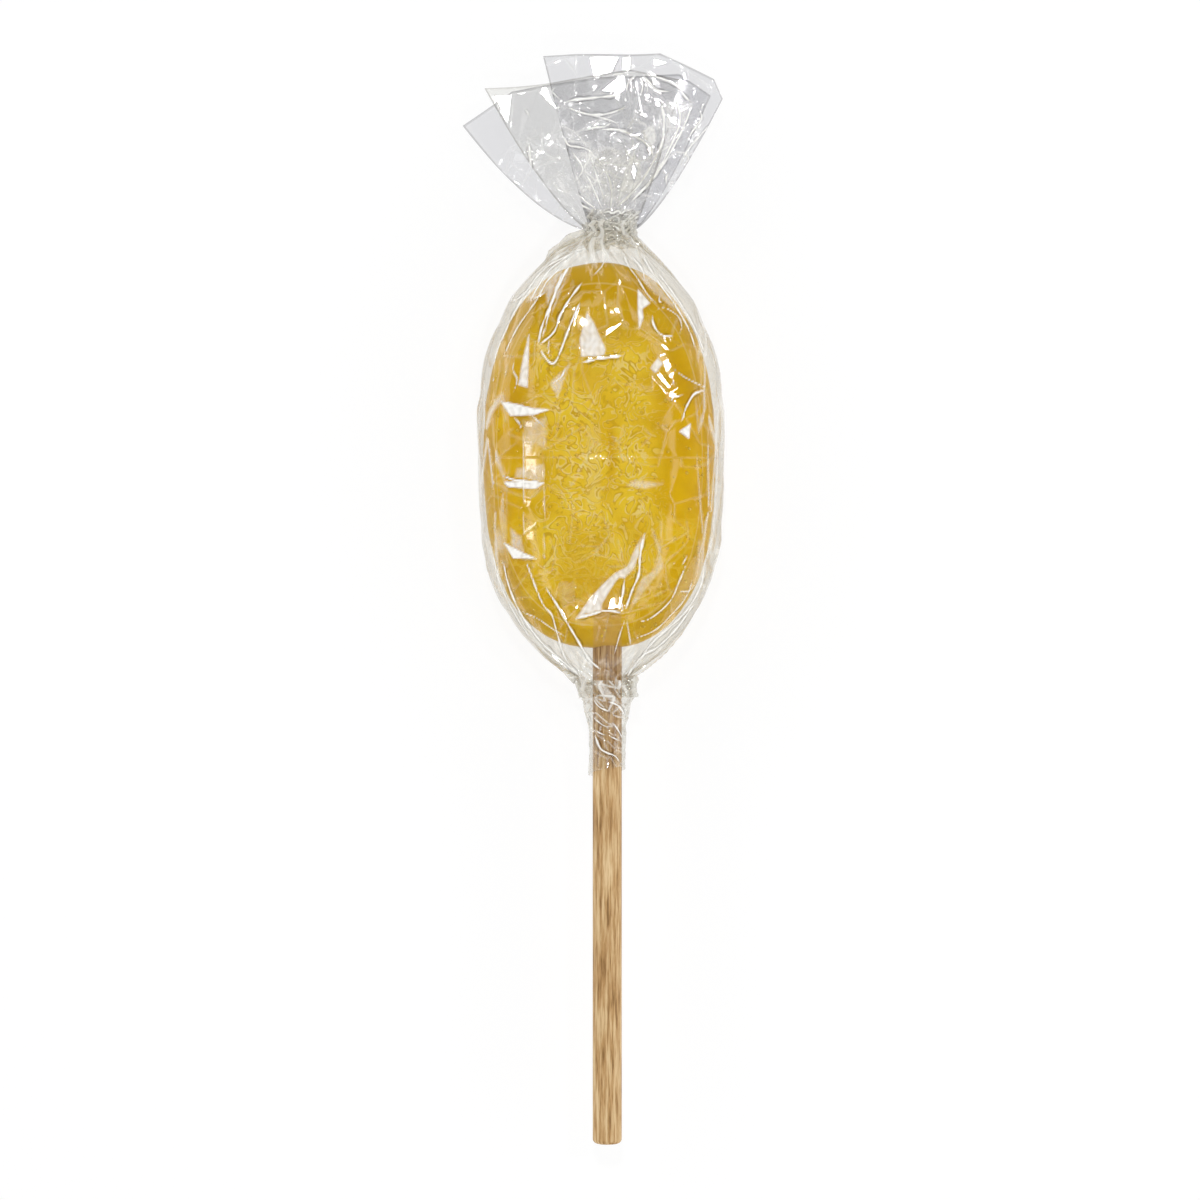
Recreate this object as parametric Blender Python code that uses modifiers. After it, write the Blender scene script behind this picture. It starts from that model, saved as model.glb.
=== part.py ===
"""A wrapped lollipop: an oval boiled-sugar candy on a wooden stick, in clear film twisted shut at both ends.

Metres, +Z up. The lollipop lies on its back. +Y runs from the stick's free end to the fan of film,
and +X is to the right as seen from above. The origin is the middle of the small flat spot that the
wrapped candy rests on, straight below the candy's centre.
"""

import math

import bmesh
import bpy

MM = 0.001

# Candy
CANDY_WIDTH = 36.0 * MM
CANDY_LENGTH = 59.8 * MM
CANDY_THICKNESS = 15.0 * MM
TOP_OUTLINE_POWER = 2.25
FOOT_OUTLINE_POWER = 2.5
CANDY_SECTION_POWER = 2.8
CANDY_SEGMENTS = 48
CANDY_RINGS = 22

# Stick
STICK_DIAMETER = 4.5 * MM
STICK_LENGTH = 114.0 * MM
STICK_X = 1.2 * MM
STICK_FREE_END_Y = -106.5 * MM
STICK_END_ROUNDING = 0.7 * MM
STICK_SEGMENTS = 28

# Gap that touching solids keep
GAP = 0.3 * MM

# Film round the candy: half-sizes at the belly, and how far its curve would run before it closes
FILM_STANDOFF = 1.0 * MM
FILM_HALF_WIDTH = 19.0 * MM
FILM_X = 0.25 * MM
TOP_REACH = 35.0 * MM
TOP_POWER = 3.0
FOOT_REACH = 35.4 * MM
FOOT_POWER = 3.3
FILM_WIDTH_FALL = 0.76
FILM_DEPTH_POWER = 4.0
FILM_DEPTH_FALL = 0.6
FILM_SECTION_POWER = 2.6
REST_CUT = 0.3 * MM

# Upper twist, collar of film round the stick, and the pleats that run from them over the candy
NECK_X = 1.9 * MM
NECK_Y = 35.3 * MM
NECK_RADIUS = 3.6 * MM
TIE_Y = -36.2 * MM
TIE_RADIUS = 4.0 * MM
COLLAR_END_Y = -49.7 * MM
COLLAR_END_RADIUS = 2.85 * MM
PLEATS = 8
PLEAT_DEPTH = 0.2
BELLY_PLEAT_DEPTH = 0.015
TWIST_PER_METRE = 130.0
FILM_SEGMENTS = 56

# Fan of film above the twist. Each panel has its free edge's corners in mm to the right of and above
# the twist, and there the height of its two sides above the candy's middle plane. A side's bow is 1
# where it is straight, and more where it sags outwards.
FAN_ROOT_Y = 34.9 * MM
FAN_THICKNESS = 0.5 * MM
FAN_ROOT_HALF_WIDTH = 2.6 * MM
FAN_PLEAT_HEIGHT = 0.45 * MM
FAN_PLEAT_WIDTH = 3.6 * MM
FAN_COLUMN_WIDTH = 1.8 * MM
FAN_ROWS = 8
FAN_PANELS = {
    "front": {
        "corners": ((-10.6, 26.6), (7.5, 27.4), (15.8, 23.4), (17.2, 20.5)),
        "heights": (2.6 * MM, 0.2 * MM),
        "bows": (1.1, 1.35),
    },
    "second": {
        "corners": ((-19.7, 22.0), (-10.5, 22.8), (3.0, 25.0), (11.0, 23.5)),
        "heights": (0.2 * MM, 0.1 * MM),
        "bows": (1.35, 1.2),
    },
    "back": {
        "corners": ((-23.2, 16.6), (-15.5, 21.8), (-2.0, 24.2), (10.5, 24.6), (15.4, 21.2)),
        "heights": (-1.6 * MM, -1.9 * MM),
        "bows": (1.55, 1.3),
    },
}

MIDDLE_Z = CANDY_THICKNESS / 2 + FILM_STANDOFF - REST_CUT
CANDY_HALF = (CANDY_WIDTH / 2, CANDY_LENGTH / 2, CANDY_THICKNESS / 2)


def clear_scene():
    for obj in list(bpy.data.objects):
        bpy.data.objects.remove(obj)


def new_collection(name):
    collection = bpy.data.collections.new(name)
    bpy.context.scene.collection.children.link(collection)
    return collection


def new_material(name, colour, roughness, transmission=0.0):
    material = bpy.data.materials.new(name)
    material.use_nodes = True
    shader = material.node_tree.nodes["Principled BSDF"]
    shader.inputs["Base Color"].default_value = (*colour, 1.0)
    shader.inputs["Roughness"].default_value = roughness
    shader.inputs["Metallic"].default_value = 0.0
    shader.inputs["Transmission Weight"].default_value = transmission
    return material


def object_from(bm, name, collection, material=None):
    mesh = bpy.data.meshes.new(name)
    bmesh.ops.recalc_face_normals(bm, faces=bm.faces)
    bm.to_mesh(mesh)
    bm.free()
    mesh.shade_smooth()
    if material:
        mesh.materials.append(material)
    obj = bpy.data.objects.new(name, mesh)
    collection.objects.link(obj)
    return obj


def signed_power(value, power):
    return math.copysign(abs(value) ** power, value)


def smoothstep(low, high, value):
    share = min(max((value - low) / (high - low), 0.0), 1.0)
    return share * share * (3 - 2 * share)


def blend(a, b, share):
    return a + (b - a) * share


def candy_form(bm, half_sizes):
    """Turns the unit sphere in bm into the candy's cushion form, with these half-sizes."""
    half_x, half_y, half_z = half_sizes
    for vertex in bm.verts:
        x, y, z = vertex.co
        level = math.hypot(x, y)
        power = TOP_OUTLINE_POWER if y > 0 else FOOT_OUTLINE_POWER
        out = level ** (2 / CANDY_SECTION_POWER)
        around = max(level, 1e-9)
        vertex.co.x = half_x * out * signed_power(x / around, 2 / power)
        vertex.co.y = half_y * out * signed_power(y / around, 2 / power)
        vertex.co.z = half_z * signed_power(z, 2 / CANDY_SECTION_POWER)


def make_candy_blank(name, collection, half_sizes, material=None):
    bm = bmesh.new()
    bmesh.ops.create_uvsphere(bm, u_segments=CANDY_SEGMENTS, v_segments=CANDY_RINGS, radius=1.0)
    candy_form(bm, half_sizes)
    obj = object_from(bm, name, collection, material)
    obj.location.z = MIDDLE_Z
    return obj


def make_rod(name, collection, radius, low_y, high_y, material=None):
    """A round rod along Y, at the stick's place."""
    bm = bmesh.new()
    bmesh.ops.create_cone(
        bm,
        cap_ends=True,
        segments=STICK_SEGMENTS,
        radius1=radius,
        radius2=radius,
        depth=high_y - low_y,
    )
    obj = object_from(bm, name, collection, material)
    obj.rotation_euler.x = math.pi / 2
    obj.location = (STICK_X, (low_y + high_y) / 2, MIDDLE_Z)
    return obj


def film_half_sizes(y):
    """Half-width and half-depth of the film at this y, from the collar to the upper twist."""
    reach, power = (TOP_REACH, TOP_POWER) if y > 0 else (FOOT_REACH, FOOT_POWER)
    share = min(abs(y) / reach, 1.0)
    width = FILM_HALF_WIDTH * (1 - share**power) ** FILM_WIDTH_FALL
    depth = (CANDY_HALF[2] + FILM_STANDOFF) * (1 - share**FILM_DEPTH_POWER) ** FILM_DEPTH_FALL
    if y > 0:
        least = NECK_RADIUS
    else:
        least = blend(TIE_RADIUS, COLLAR_END_RADIUS, smoothstep(TIE_Y, COLLAR_END_Y, y))
    return max(width, least), max(depth, least)


def film_centre_x(y):
    """The film hangs a little to one side of the candy, and moves over to the twist and to the stick."""
    if y > 0:
        return blend(FILM_X, NECK_X, smoothstep(0.88 * NECK_Y, NECK_Y, y))
    return blend(FILM_X, STICK_X, smoothstep(0.92 * TIE_Y, 1.04 * TIE_Y, y))


def pleat_depth(y):
    """How far the pleats stand out, as a share of the radius: deep at the twists, faint at the belly."""
    if y < TIE_Y:
        return PLEAT_DEPTH * (1 - smoothstep(TIE_Y, COLLAR_END_Y, y))
    end = NECK_Y if y > 0 else -TIE_Y
    return blend(BELLY_PLEAT_DEPTH, PLEAT_DEPTH, smoothstep(0.5 * end, end, abs(y)))


def film_point(y, angle):
    """A point on the film's outside, angle being 0 at +X and a quarter turn at the top."""
    half_width, half_depth = film_half_sizes(y)
    depth = pleat_depth(y)
    nearest_end = NECK_Y if y > 0 else TIE_Y
    turn = TWIST_PER_METRE * (y - nearest_end) * smoothstep(0.6 * abs(nearest_end), abs(nearest_end), abs(y))
    folds = 0.6 * abs(math.sin(PLEATS / 2 * (angle + turn))) + 0.4 * math.sin(3 * angle + 40 * y) ** 2
    out = 1 + depth * (folds - 0.5)
    x = film_centre_x(y) + half_width * out * signed_power(math.cos(angle), 2 / FILM_SECTION_POWER)
    z = MIDDLE_Z + half_depth * out * signed_power(math.sin(angle), 2 / FILM_SECTION_POWER)
    return x, y, max(z, 0.0)


def film_rows():
    """The y of each ring of the film, closer together where its width changes fast."""
    belly_rows = 26
    collar_rows = 7
    collar = [blend(COLLAR_END_Y, TIE_Y, i / collar_rows) for i in range(collar_rows)]
    belly = []
    for i in range(belly_rows + 1):
        share = -math.cos(math.pi * i / belly_rows)
        belly.append(blend(TIE_Y, NECK_Y, (0.75 * share + 0.25 * share**3 + 1) / 2))
    return collar + belly + [NECK_Y + 1.1 * MM]


def make_film_bag(name, collection, material):
    """The outside of the film round the candy and the stick, as one closed loft."""
    bm = bmesh.new()
    rings = []
    for y in film_rows():
        angles = [2 * math.pi * (i + 0.5) / FILM_SEGMENTS for i in range(FILM_SEGMENTS)]
        rings.append([bm.verts.new(film_point(y, angle)) for angle in angles])
    for lower, upper in zip(rings, rings[1:]):
        for i in range(FILM_SEGMENTS):
            j = (i + 1) % FILM_SEGMENTS
            bm.faces.new((lower[i], lower[j], upper[j], upper[i]))
    bm.faces.new(rings[0])
    bm.faces.new(rings[-1])
    return object_from(bm, name, collection, material)


def free_edge(corners):
    """Points along the straight edges between the corners, with each one's distance from the first."""
    points = []
    gone = 0.0
    for start, end in zip(corners, corners[1:]):
        length = math.dist(start, end)
        columns = max(1, round(length * MM / FAN_COLUMN_WIDTH))
        for i in range(columns):
            share = i / columns
            x, y = (blend(a, b, share) * MM for a, b in zip(start, end))
            points.append((x, y, (gone + share * length) * MM))
        gone += length
    return [*points, (corners[-1][0] * MM, corners[-1][1] * MM, gone * MM)]


def make_fan_panel(name, collection, corners, heights, bows):
    """A pleated wedge of film that spreads from the upper twist, as an open surface with a Solidify."""
    bm = bmesh.new()
    edge = free_edge(corners)
    grid = []
    for row in range(FAN_ROWS + 1):
        along = row / FAN_ROWS
        line = []
        for edge_x, edge_y, gone in edge:
            across = gone / edge[-1][2]
            root_x = FAN_ROOT_HALF_WIDTH * (2 * across - 1) * (1 - along)
            pleat = FAN_PLEAT_HEIGHT * math.cos(math.pi * gone / FAN_PLEAT_WIDTH)
            x = NECK_X + root_x + edge_x * along
            y = FAN_ROOT_Y + edge_y * along ** blend(*bows, across)
            z = MIDDLE_Z + (blend(*heights, across) + pleat) * along
            line.append(bm.verts.new((x, y, z)))
        grid.append(line)
    for lower, upper in zip(grid, grid[1:]):
        for i in range(len(edge) - 1):
            bm.faces.new((lower[i], lower[i + 1], upper[i + 1], upper[i]))
    obj = object_from(bm, name, collection)
    solidify = obj.modifiers.new("thickness", "SOLIDIFY")
    solidify.thickness = FAN_THICKNESS
    solidify.offset = 0.0
    return obj


def apply_modifiers(obj):
    graph = bpy.context.evaluated_depsgraph_get()
    mesh = bpy.data.meshes.new_from_object(obj.evaluated_get(graph))
    obj.modifiers.clear()
    obj.data = mesh


def join_panels(bag, panels):
    """Joins the fan's panels to the bag with one Boolean union, and removes them."""
    union = bag.modifiers.new("fan", "BOOLEAN")
    union.operation = "UNION"
    union.solver = "EXACT"
    union.operand_type = "COLLECTION"
    union.collection = panels
    apply_modifiers(bag)
    for obj in list(panels.objects):
        bpy.data.objects.remove(obj)
    bpy.data.collections.remove(panels)


def cut(obj, cutter):
    difference = obj.modifiers.new(f"cut_{cutter.name}", "BOOLEAN")
    difference.operation = "DIFFERENCE"
    difference.solver = "EXACT"
    difference.object = cutter
    cutter.hide_render = True
    cutter.display_type = "WIRE"


def round_ends(obj):
    rounding = obj.modifiers.new("end_rounding", "BEVEL")
    rounding.width = STICK_END_ROUNDING
    rounding.segments = 3
    rounding.limit_method = "ANGLE"
    rounding.angle_limit = math.radians(60)


def main():
    clear_scene()
    lollipop = new_collection("wrapped_lollipop")
    cutters = new_collection("cutters")
    fan = new_collection("fan_panels")

    sugar = new_material("boiled_sugar", (0.60, 0.37, 0.005), 0.25, transmission=0.3)
    wood = new_material("birch_wood", (0.58, 0.41, 0.22), 0.7)
    film = new_material("clear_film", (0.90, 0.90, 0.91), 0.08, transmission=0.9)

    stick_radius = STICK_DIAMETER / 2
    stick_top = STICK_FREE_END_Y + STICK_LENGTH
    candy = make_candy_blank("candy", lollipop, CANDY_HALF, sugar)
    stick = make_rod("stick", lollipop, stick_radius, STICK_FREE_END_Y, stick_top, wood)
    round_ends(stick)

    wrapper = make_film_bag("wrapper", lollipop, film)
    for name, panel in FAN_PANELS.items():
        make_fan_panel(f"fan_{name}", fan, **panel)
    join_panels(wrapper, fan)

    socket = make_rod("stick_socket", cutters, stick_radius + GAP, -CANDY_LENGTH, stick_top + GAP)
    cut(candy, socket)
    room = make_candy_blank("candy_room", cutters, [size + GAP for size in CANDY_HALF])
    cut(wrapper, room)
    way_out = make_rod("stick_way_out", cutters, stick_radius + GAP, 2 * COLLAR_END_Y, -CANDY_HALF[1] * 0.8)
    cut(wrapper, way_out)


main()
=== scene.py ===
# %% [markdown]
# # A wrapped lollipop
# A lollipop is boiled sugar poured round a wooden stick. When it is cool it is rolled in clear film, and
# the film is twisted shut above the candy and gathered round the stick below it. This lesson makes each
# of these as a mesh of its own around a plain solid model, which is loaded first. The solid model says
# where each piece lies and how big it is. +Y runs from the stick's free end to the fan of film, and +Z
# points up, out of the side that shows.

# %% Load the solid model
import math

import bmesh
import bpy
import numpy as np
from mathutils import Matrix, Vector


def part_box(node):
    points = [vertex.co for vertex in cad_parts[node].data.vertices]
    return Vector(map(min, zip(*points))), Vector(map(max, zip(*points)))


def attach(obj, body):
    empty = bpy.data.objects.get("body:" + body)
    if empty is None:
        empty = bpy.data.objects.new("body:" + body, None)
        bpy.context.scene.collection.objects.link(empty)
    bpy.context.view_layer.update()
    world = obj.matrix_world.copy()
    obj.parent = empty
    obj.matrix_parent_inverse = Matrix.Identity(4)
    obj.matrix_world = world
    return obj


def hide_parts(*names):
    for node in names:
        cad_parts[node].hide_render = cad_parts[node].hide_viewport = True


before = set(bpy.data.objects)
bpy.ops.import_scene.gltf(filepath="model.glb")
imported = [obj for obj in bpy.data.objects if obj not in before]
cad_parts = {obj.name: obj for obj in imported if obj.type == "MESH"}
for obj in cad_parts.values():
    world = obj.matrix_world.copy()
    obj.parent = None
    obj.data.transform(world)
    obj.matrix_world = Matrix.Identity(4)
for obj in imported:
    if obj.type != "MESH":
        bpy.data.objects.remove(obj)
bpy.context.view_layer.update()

print("solids:", sorted(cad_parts))

# %% [markdown]
# ## Units, colours and nodes
# Sizes are worked out in millimetres, which suit a sweet better than metres, and each mesh is made
# smaller by MM when it is built. Colours are written as the sRGB hex codes that a paint program shows.
# Blender's shaders add and multiply light, so they need the linear values that `colour` works out.
# `add` makes one node, with its input values, its links and its settings.

# %% Helpers for values and nodes
MM = 0.001


def colour(code):
    """The linear RGBA of a hex code in sRGB."""
    shares = [int(code[i : i + 2], 16) / 255 for i in (1, 3, 5)]
    linear = [s / 12.92 if s <= 0.04045 else ((s + 0.055) / 1.055) ** 2.4 for s in shares]
    return (*linear, 1.0)


def add(tree, kind, inputs=None, **settings):
    """Adds a node to a tree. An input is given a value, a socket to link, or a node for its first output."""
    node = tree.nodes.new(kind)
    for name, value in settings.items():
        setattr(node, name, value)
    for name, value in (inputs or {}).items():
        if isinstance(value, bpy.types.Node):
            value = value.outputs[0]
        if isinstance(value, bpy.types.NodeSocket):
            tree.links.new(value, node.inputs[name])
        else:
            node.inputs[name].default_value = value
    return node


def set_stops(ramp, *stops):
    """Gives a Color Ramp node its stops, each a place from 0 to 1 and a colour."""
    elements = ramp.color_ramp.elements
    while len(elements) < len(stops):
        elements.new(1.0)
    for element, (place, rgba) in zip(elements, stops):
        element.position = place
        element.color = rgba


def new_material(name):
    """An empty material, and its tree of nodes."""
    material = bpy.data.materials.new(name)
    material.use_nodes = True
    material.node_tree.nodes.clear()
    print("material:", name)
    return material, material.node_tree


def new_object(name, data):
    """An object with this data, in the scene."""
    obj = bpy.data.objects.new(name, data)
    bpy.context.scene.collection.objects.link(obj)
    return obj


def smoothstep(low, high, value):
    """0 up to low and 1 from high on, with a soft change between."""
    share = np.clip((value - low) / (high - low), 0.0, 1.0)
    return share * share * (3 - 2 * share)


def blend(a, b, share):
    """a where the share is 0, b where it is 1, and a mix of them between."""
    return a + (b - a) * share


# %% [markdown]
# ## Floor, light and camera
# The lollipop lies on a sheet of lit white acrylic, as in a packshot, so its surroundings stay white and
# its shadow faint. Film shows only what it mirrors. The room is dark straight above, so that flat film
# stays clear, and a ring of light round that makes its slopes show. Small softboxes light the sugar and
# the wood and make flaps of film flash, and two large dim panels soften their shadows. The lights come
# before the film, because some flaps are laid so that they throw a softbox's light into the camera.

# %% The camera, straight above and framed as the photo is
candy_low, candy_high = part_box("candy")
CANDY_CENTRE = (candy_low + candy_high) / 2
CANDY_HALF = (candy_high - candy_low) / 2
PIXEL = 0.155 * MM
PHOTO_PIXELS = 1200
ORIGIN_COLUMN, ORIGIN_ROW = 599.5, 456
LENS, SENSOR = 100.0, 36.0
VIEW_DISTANCE = PHOTO_PIXELS * PIXEL * LENS / SENSOR

scene = bpy.context.scene
camera_data = bpy.data.cameras.new("camera")
camera_data.lens = LENS
camera_data.sensor_width = SENSOR
camera = new_object("camera", camera_data)
camera.location = (
    (PHOTO_PIXELS / 2 - ORIGIN_COLUMN) * PIXEL,
    (ORIGIN_ROW - PHOTO_PIXELS / 2) * PIXEL,
    CANDY_CENTRE.z + VIEW_DISTANCE,
)
scene.camera = camera
scene.view_settings.view_transform = "Standard"
scene.cycles.transparent_max_bounces = 32
print("the camera is", round(VIEW_DISTANCE, 3), "m above the candy")

# %% Floor
FLOOR_GREY = 0.15
FLOOR_GLOW = 0.85
FLOOR_HALF_WIDTH = 3.0
bm = bmesh.new()
bmesh.ops.create_grid(bm, x_segments=1, y_segments=1, size=FLOOR_HALF_WIDTH)
floor_mesh = bpy.data.meshes.new("floor")
bm.to_mesh(floor_mesh)
bm.free()
floor = new_object("floor", floor_mesh)
floor_material, tree = new_material("lit_white_acrylic")
acrylic = add(tree, "ShaderNodeBsdfPrincipled", {
    "Base Color": (FLOOR_GREY, FLOOR_GREY, FLOOR_GREY, 1.0), "Roughness": 0.9, "Specular IOR Level": 0.0,
    "Emission Color": (1, 1, 1, 1), "Emission Strength": FLOOR_GLOW,
})
add(tree, "ShaderNodeOutputMaterial", {"Surface": acrylic})
floor_mesh.materials.append(floor_material)

# %% The room, by the height of each direction, from the pale horizon to the dark ceiling
ROOM_STRENGTH = 2.1
ROOM = (
    (0, 0.6), (0.06, 0.42), (0.28, 0.4), (0.32, 1), (0.42, 1), (0.46, 0.34), (0.6, 0.14), (0.8, 0.06),
    (0.885, 0.03), (0.897, 0.6), (0.918, 0.6), (0.93, 0.02),
)
world = bpy.data.worlds.new("studio")
world.use_nodes = True
tree = world.node_tree
sky = tree.nodes["Background"]
direction = add(tree, "ShaderNodeTexCoord").outputs["Generated"]
height = add(tree, "ShaderNodeSeparateXYZ", {0: direction}).outputs["Z"]
walls = add(tree, "ShaderNodeValToRGB", {0: height})
set_stops(walls, *((place, (grey, grey, grey, 1)) for place, grey in ROOM))
tree.links.new(walls.outputs["Color"], sky.inputs["Color"])
sky.inputs["Strength"].default_value = ROOM_STRENGTH
scene.world = world
print("the room has", len(ROOM), "stops of grey")

# %% Softboxes
LIGHT_DISTANCE = 0.75


def towards(side, slant):
    """The direction at a side, in degrees from +X, and at a slant off the vertical."""
    turn, lean = math.radians(side), math.radians(slant)
    return Vector((math.cos(turn) * math.sin(lean), math.sin(turn) * math.sin(lean), math.cos(lean)))


def softbox(name, side, slant, width, height, radiance):
    """A panel of light that faces the candy. Gives its place."""
    light = bpy.data.lights.new(name, "AREA")
    light.shape = "RECTANGLE"
    light.size, light.size_y = width, height
    light.energy = radiance * math.pi * width * height
    obj = new_object(name, light)
    obj.location = towards(side, slant) * LIGHT_DISTANCE
    obj.rotation_euler = towards(side, slant).to_track_quat("Z", "Y").to_euler()
    return obj.location


# The side, slant, width, height and radiance of each
LIGHTS = {
    "softbox_left": (180, 27, 0.06, 0.06, 6),
    "softbox_right": (25, 27, 0.05, 0.05, 60),
    "softbox_top": (95, 20, 0.05, 0.05, 135),
    "softbox_foot": (275, 20, 0.05, 0.05, 125),
    "side_panel_left": (150, 60, 0.6, 0.36, 0.9),
    "side_panel_right": (-30, 60, 0.6, 0.36, 0.9),
}
LIGHT_PLACES = {name: softbox(name, *sizes) for name, sizes in LIGHTS.items()}
print("lights:", ", ".join(LIGHT_PLACES))

# %% [markdown]
# ## Boiled sugar
# Boiled sugar is a glass: clear, hard and deeply coloured, with an index of refraction near 1.5. Pressed
# against its wrapping while it is warm, its face keeps wandering wrinkles and traps small bubbles, and it
# is painted paler where they are dense, partly a painted haze for the film's reflection over it. Light goes
# some millimetres into it and comes back deeper yellow, which subsurface scattering gives. Paint goes on in
# layers: each is a mask from 0 to 1 and a colour. `strip` makes the commonest mask, 1 within a band and 0
# outside it, and `overlap` keeps what masks have in common. The wrinkles are the contour lines of a slow
# noise, with a painted highlight on one side and painted shade on the other, as an embossed line shows.

# %% The candy's material
STICK_X = 1.2
RIM_SHARE = 0.70
CLOUD_SIZE = 7 * MM
WRINKLE_SIZE = 4.2 * MM
WRINKLE_LINES = 6.5
CELL_SIZE = 1.7 * MM


def strip(tree, value, centre, half_width, softness, most=1.0):
    """A mask that is `most` within half_width of the centre and fades to 0 over the softness."""
    away = add(tree, "ShaderNodeMath", {0: value, 1: centre}, operation="SUBTRACT")
    size = add(tree, "ShaderNodeMath", {0: away}, operation="ABSOLUTE")
    return add(tree, "ShaderNodeMapRange", {
        "Value": size, "From Min": half_width, "From Max": half_width + softness,
        "To Min": most, "To Max": 0.0,
    }, interpolation_type="SMOOTHSTEP")


def overlap(tree, mask, *others):
    """The product of masks."""
    for other in others:
        mask = add(tree, "ShaderNodeMath", {0: mask, 1: other}, operation="MULTIPLY")
    return mask


def patch(tree, x, y, across, along, most=1.0):
    """A soft patch. Across and along each give its centre, half width and softness in mm."""
    across, along = [[size * MM for size in sizes] for sizes in (across, along)]
    return overlap(tree, strip(tree, x, *across, most), strip(tree, y, *along))


def painted(tree, ground, layers):
    """Lays colours over a ground colour, each by its mask."""
    for mask, code in layers:
        ground = add(tree, "ShaderNodeMix", {
            "Factor": mask, "A": ground, "B": colour(code),
        }, data_type="RGBA").outputs["Result"]
    return ground


def boiled_sugar():
    material, tree = new_material("boiled_sugar_lemon")
    place = add(tree, "ShaderNodeTexCoord").outputs["Object"]
    axes = add(tree, "ShaderNodeSeparateXYZ", {0: place})
    x, y = axes.outputs["X"], axes.outputs["Y"]
    rim = add(tree, "ShaderNodeAttribute", attribute_name="rim_share").outputs["Fac"]

    # Clouds in the sugar
    clouds = add(tree, "ShaderNodeTexNoise", {"Vector": place, "Scale": 1 / CLOUD_SIZE, "Detail": 4.0})
    body = add(tree, "ShaderNodeValToRGB", {0: clouds.outputs["Fac"]})
    set_stops(body, (0.34, colour("#dcad00")), (0.5, colour("#e7b900")), (0.66, colour("#f1c500")))

    # The paler, hazy middle of the face, where the wrinkles are dense: partly the wrinkles, partly a painted
    # haze that stands in for the film's reflection over the sugar
    dense = add(tree, "ShaderNodeMapRange", {
        "Value": clouds.outputs["Fac"], "From Min": 0.38, "From Max": 0.6, "To Min": 0.45,
    })
    face = overlap(tree, patch(tree, x, y, (-0.8, 6.5, 6.5), (0, 13, 13)), dense)

    # Wrinkles: contour lines of a noise, with this many of them from its lowest value to its highest. Each
    # gets a painted highlight on one side and painted shade on the other
    swirl = add(tree, "ShaderNodeTexNoise", {
        "Vector": place, "Scale": 1 / WRINKLE_SIZE, "Detail": 2.0, "Distortion": 1.5,
    })
    steps = add(tree, "ShaderNodeMath", {0: swirl.outputs["Fac"], 1: WRINKLE_LINES}, operation="MULTIPLY")
    phase = add(tree, "ShaderNodeMath", {0: steps}, operation="FRACT")
    wrinkle_highlight = overlap(tree, strip(tree, phase, 0.40, 0.06, 0.08, 0.7), face)
    wrinkle_shade = overlap(tree, strip(tree, phase, 0.58, 0.05, 0.10, 0.6), face)

    # Rounded cells in the lower half
    cells = add(tree, "ShaderNodeTexVoronoi", {
        "Vector": place, "Scale": 1 / CELL_SIZE,
    }, feature="DISTANCE_TO_EDGE").outputs["Distance"]
    low = strip(tree, y, -19 * MM, 6 * MM, 6 * MM)
    cell_rims = overlap(tree, strip(tree, cells, 0.06, 0.02, 0.05, 0.45), low)

    # The stick shows faintly through the sugar, and its end as a pale and a dark streak
    shaft = patch(tree, x, y, (STICK_X, 1.9, 0.5), (-30, 6, 4), 0.6)
    pale_streak = patch(tree, x, y, (-1, 0.7, 0.8), (-2, 4, 4), 0.45)
    dark_streak = patch(tree, x, y, (1.8, 0.1, 0.9), (0, 2, 4), 0.6)

    # The far end is painted a darker, deeper yellow: painted shade
    far_end_shade = strip(tree, y, 24 * MM, 3 * MM, 12 * MM, 0.6)

    # Outside the moulded line the rim is painted a duller tan, partly its own colour and partly a painted
    # reflection of the film folded over it, and the line itself gets a painted highlight
    outer = add(tree, "ShaderNodeMapRange", {
        "Value": rim, "From Min": RIM_SHARE, "From Max": RIM_SHARE + 0.06, "To Max": 0.55,
    })
    moulded_line_highlight = strip(tree, rim, RIM_SHARE, 0.004, 0.012, 0.4)

    shade = painted(tree, body.outputs["Color"], (
        (far_end_shade, "#cca004"),
        (face, "#f9d63c"),
        (pale_streak, "#ffe480"),
        (dark_streak, "#dca800"),
        (cell_rims, "#f8d854"),
        (wrinkle_shade, "#c69500"),
        (wrinkle_highlight, "#ffe89c"),
        (outer, "#d4aa28"),
        (moulded_line_highlight, "#f4dc98"),
        (shaft, "#d4a860"),
    ))
    relief_height = add(tree, "ShaderNodeMath", {0: wrinkle_highlight, 1: cell_rims}, operation="ADD")
    relief = add(tree, "ShaderNodeBump", {"Strength": 0.3, "Distance": 0.2 * MM, "Height": relief_height})
    sugar = add(tree, "ShaderNodeBsdfPrincipled", {
        "Base Color": shade,
        "Roughness": 0.3,
        "IOR": 1.5,
        "Specular IOR Level": 0.05,
        "Subsurface Weight": 0.15,
        "Subsurface Radius": (0.003, 0.0016, 0.0002),
        "Subsurface Scale": 1.0,
        "Normal": relief,
    })
    add(tree, "ShaderNodeOutputMaterial", {"Surface": sugar})
    return material


SUGAR = boiled_sugar()


def bubble_skin():
    material, tree = new_material("sugar_bubble_skin")
    skin = add(tree, "ShaderNodeBsdfPrincipled", {
        "Base Color": colour("#e6c23c"), "Roughness": 0.08, "IOR": 1.5,
    })
    add(tree, "ShaderNodeOutputMaterial", {"Surface": skin})
    return material


BUBBLE_SKIN = bubble_skin()

# %% [markdown]
# ## Birch
# Lollipop sticks are turned from birch, a pale close-grained wood, and left bare. The eye sees fine
# darker streaks along the stick, about a third of a millimetre wide and many times as long, over slow
# changes of tone. One noise stretched along the stick gives the streaks and another the tone.

# %% The stick's material
STREAK_SIZE = 0.45 * MM
TONE_SIZE = 12 * MM


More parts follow.
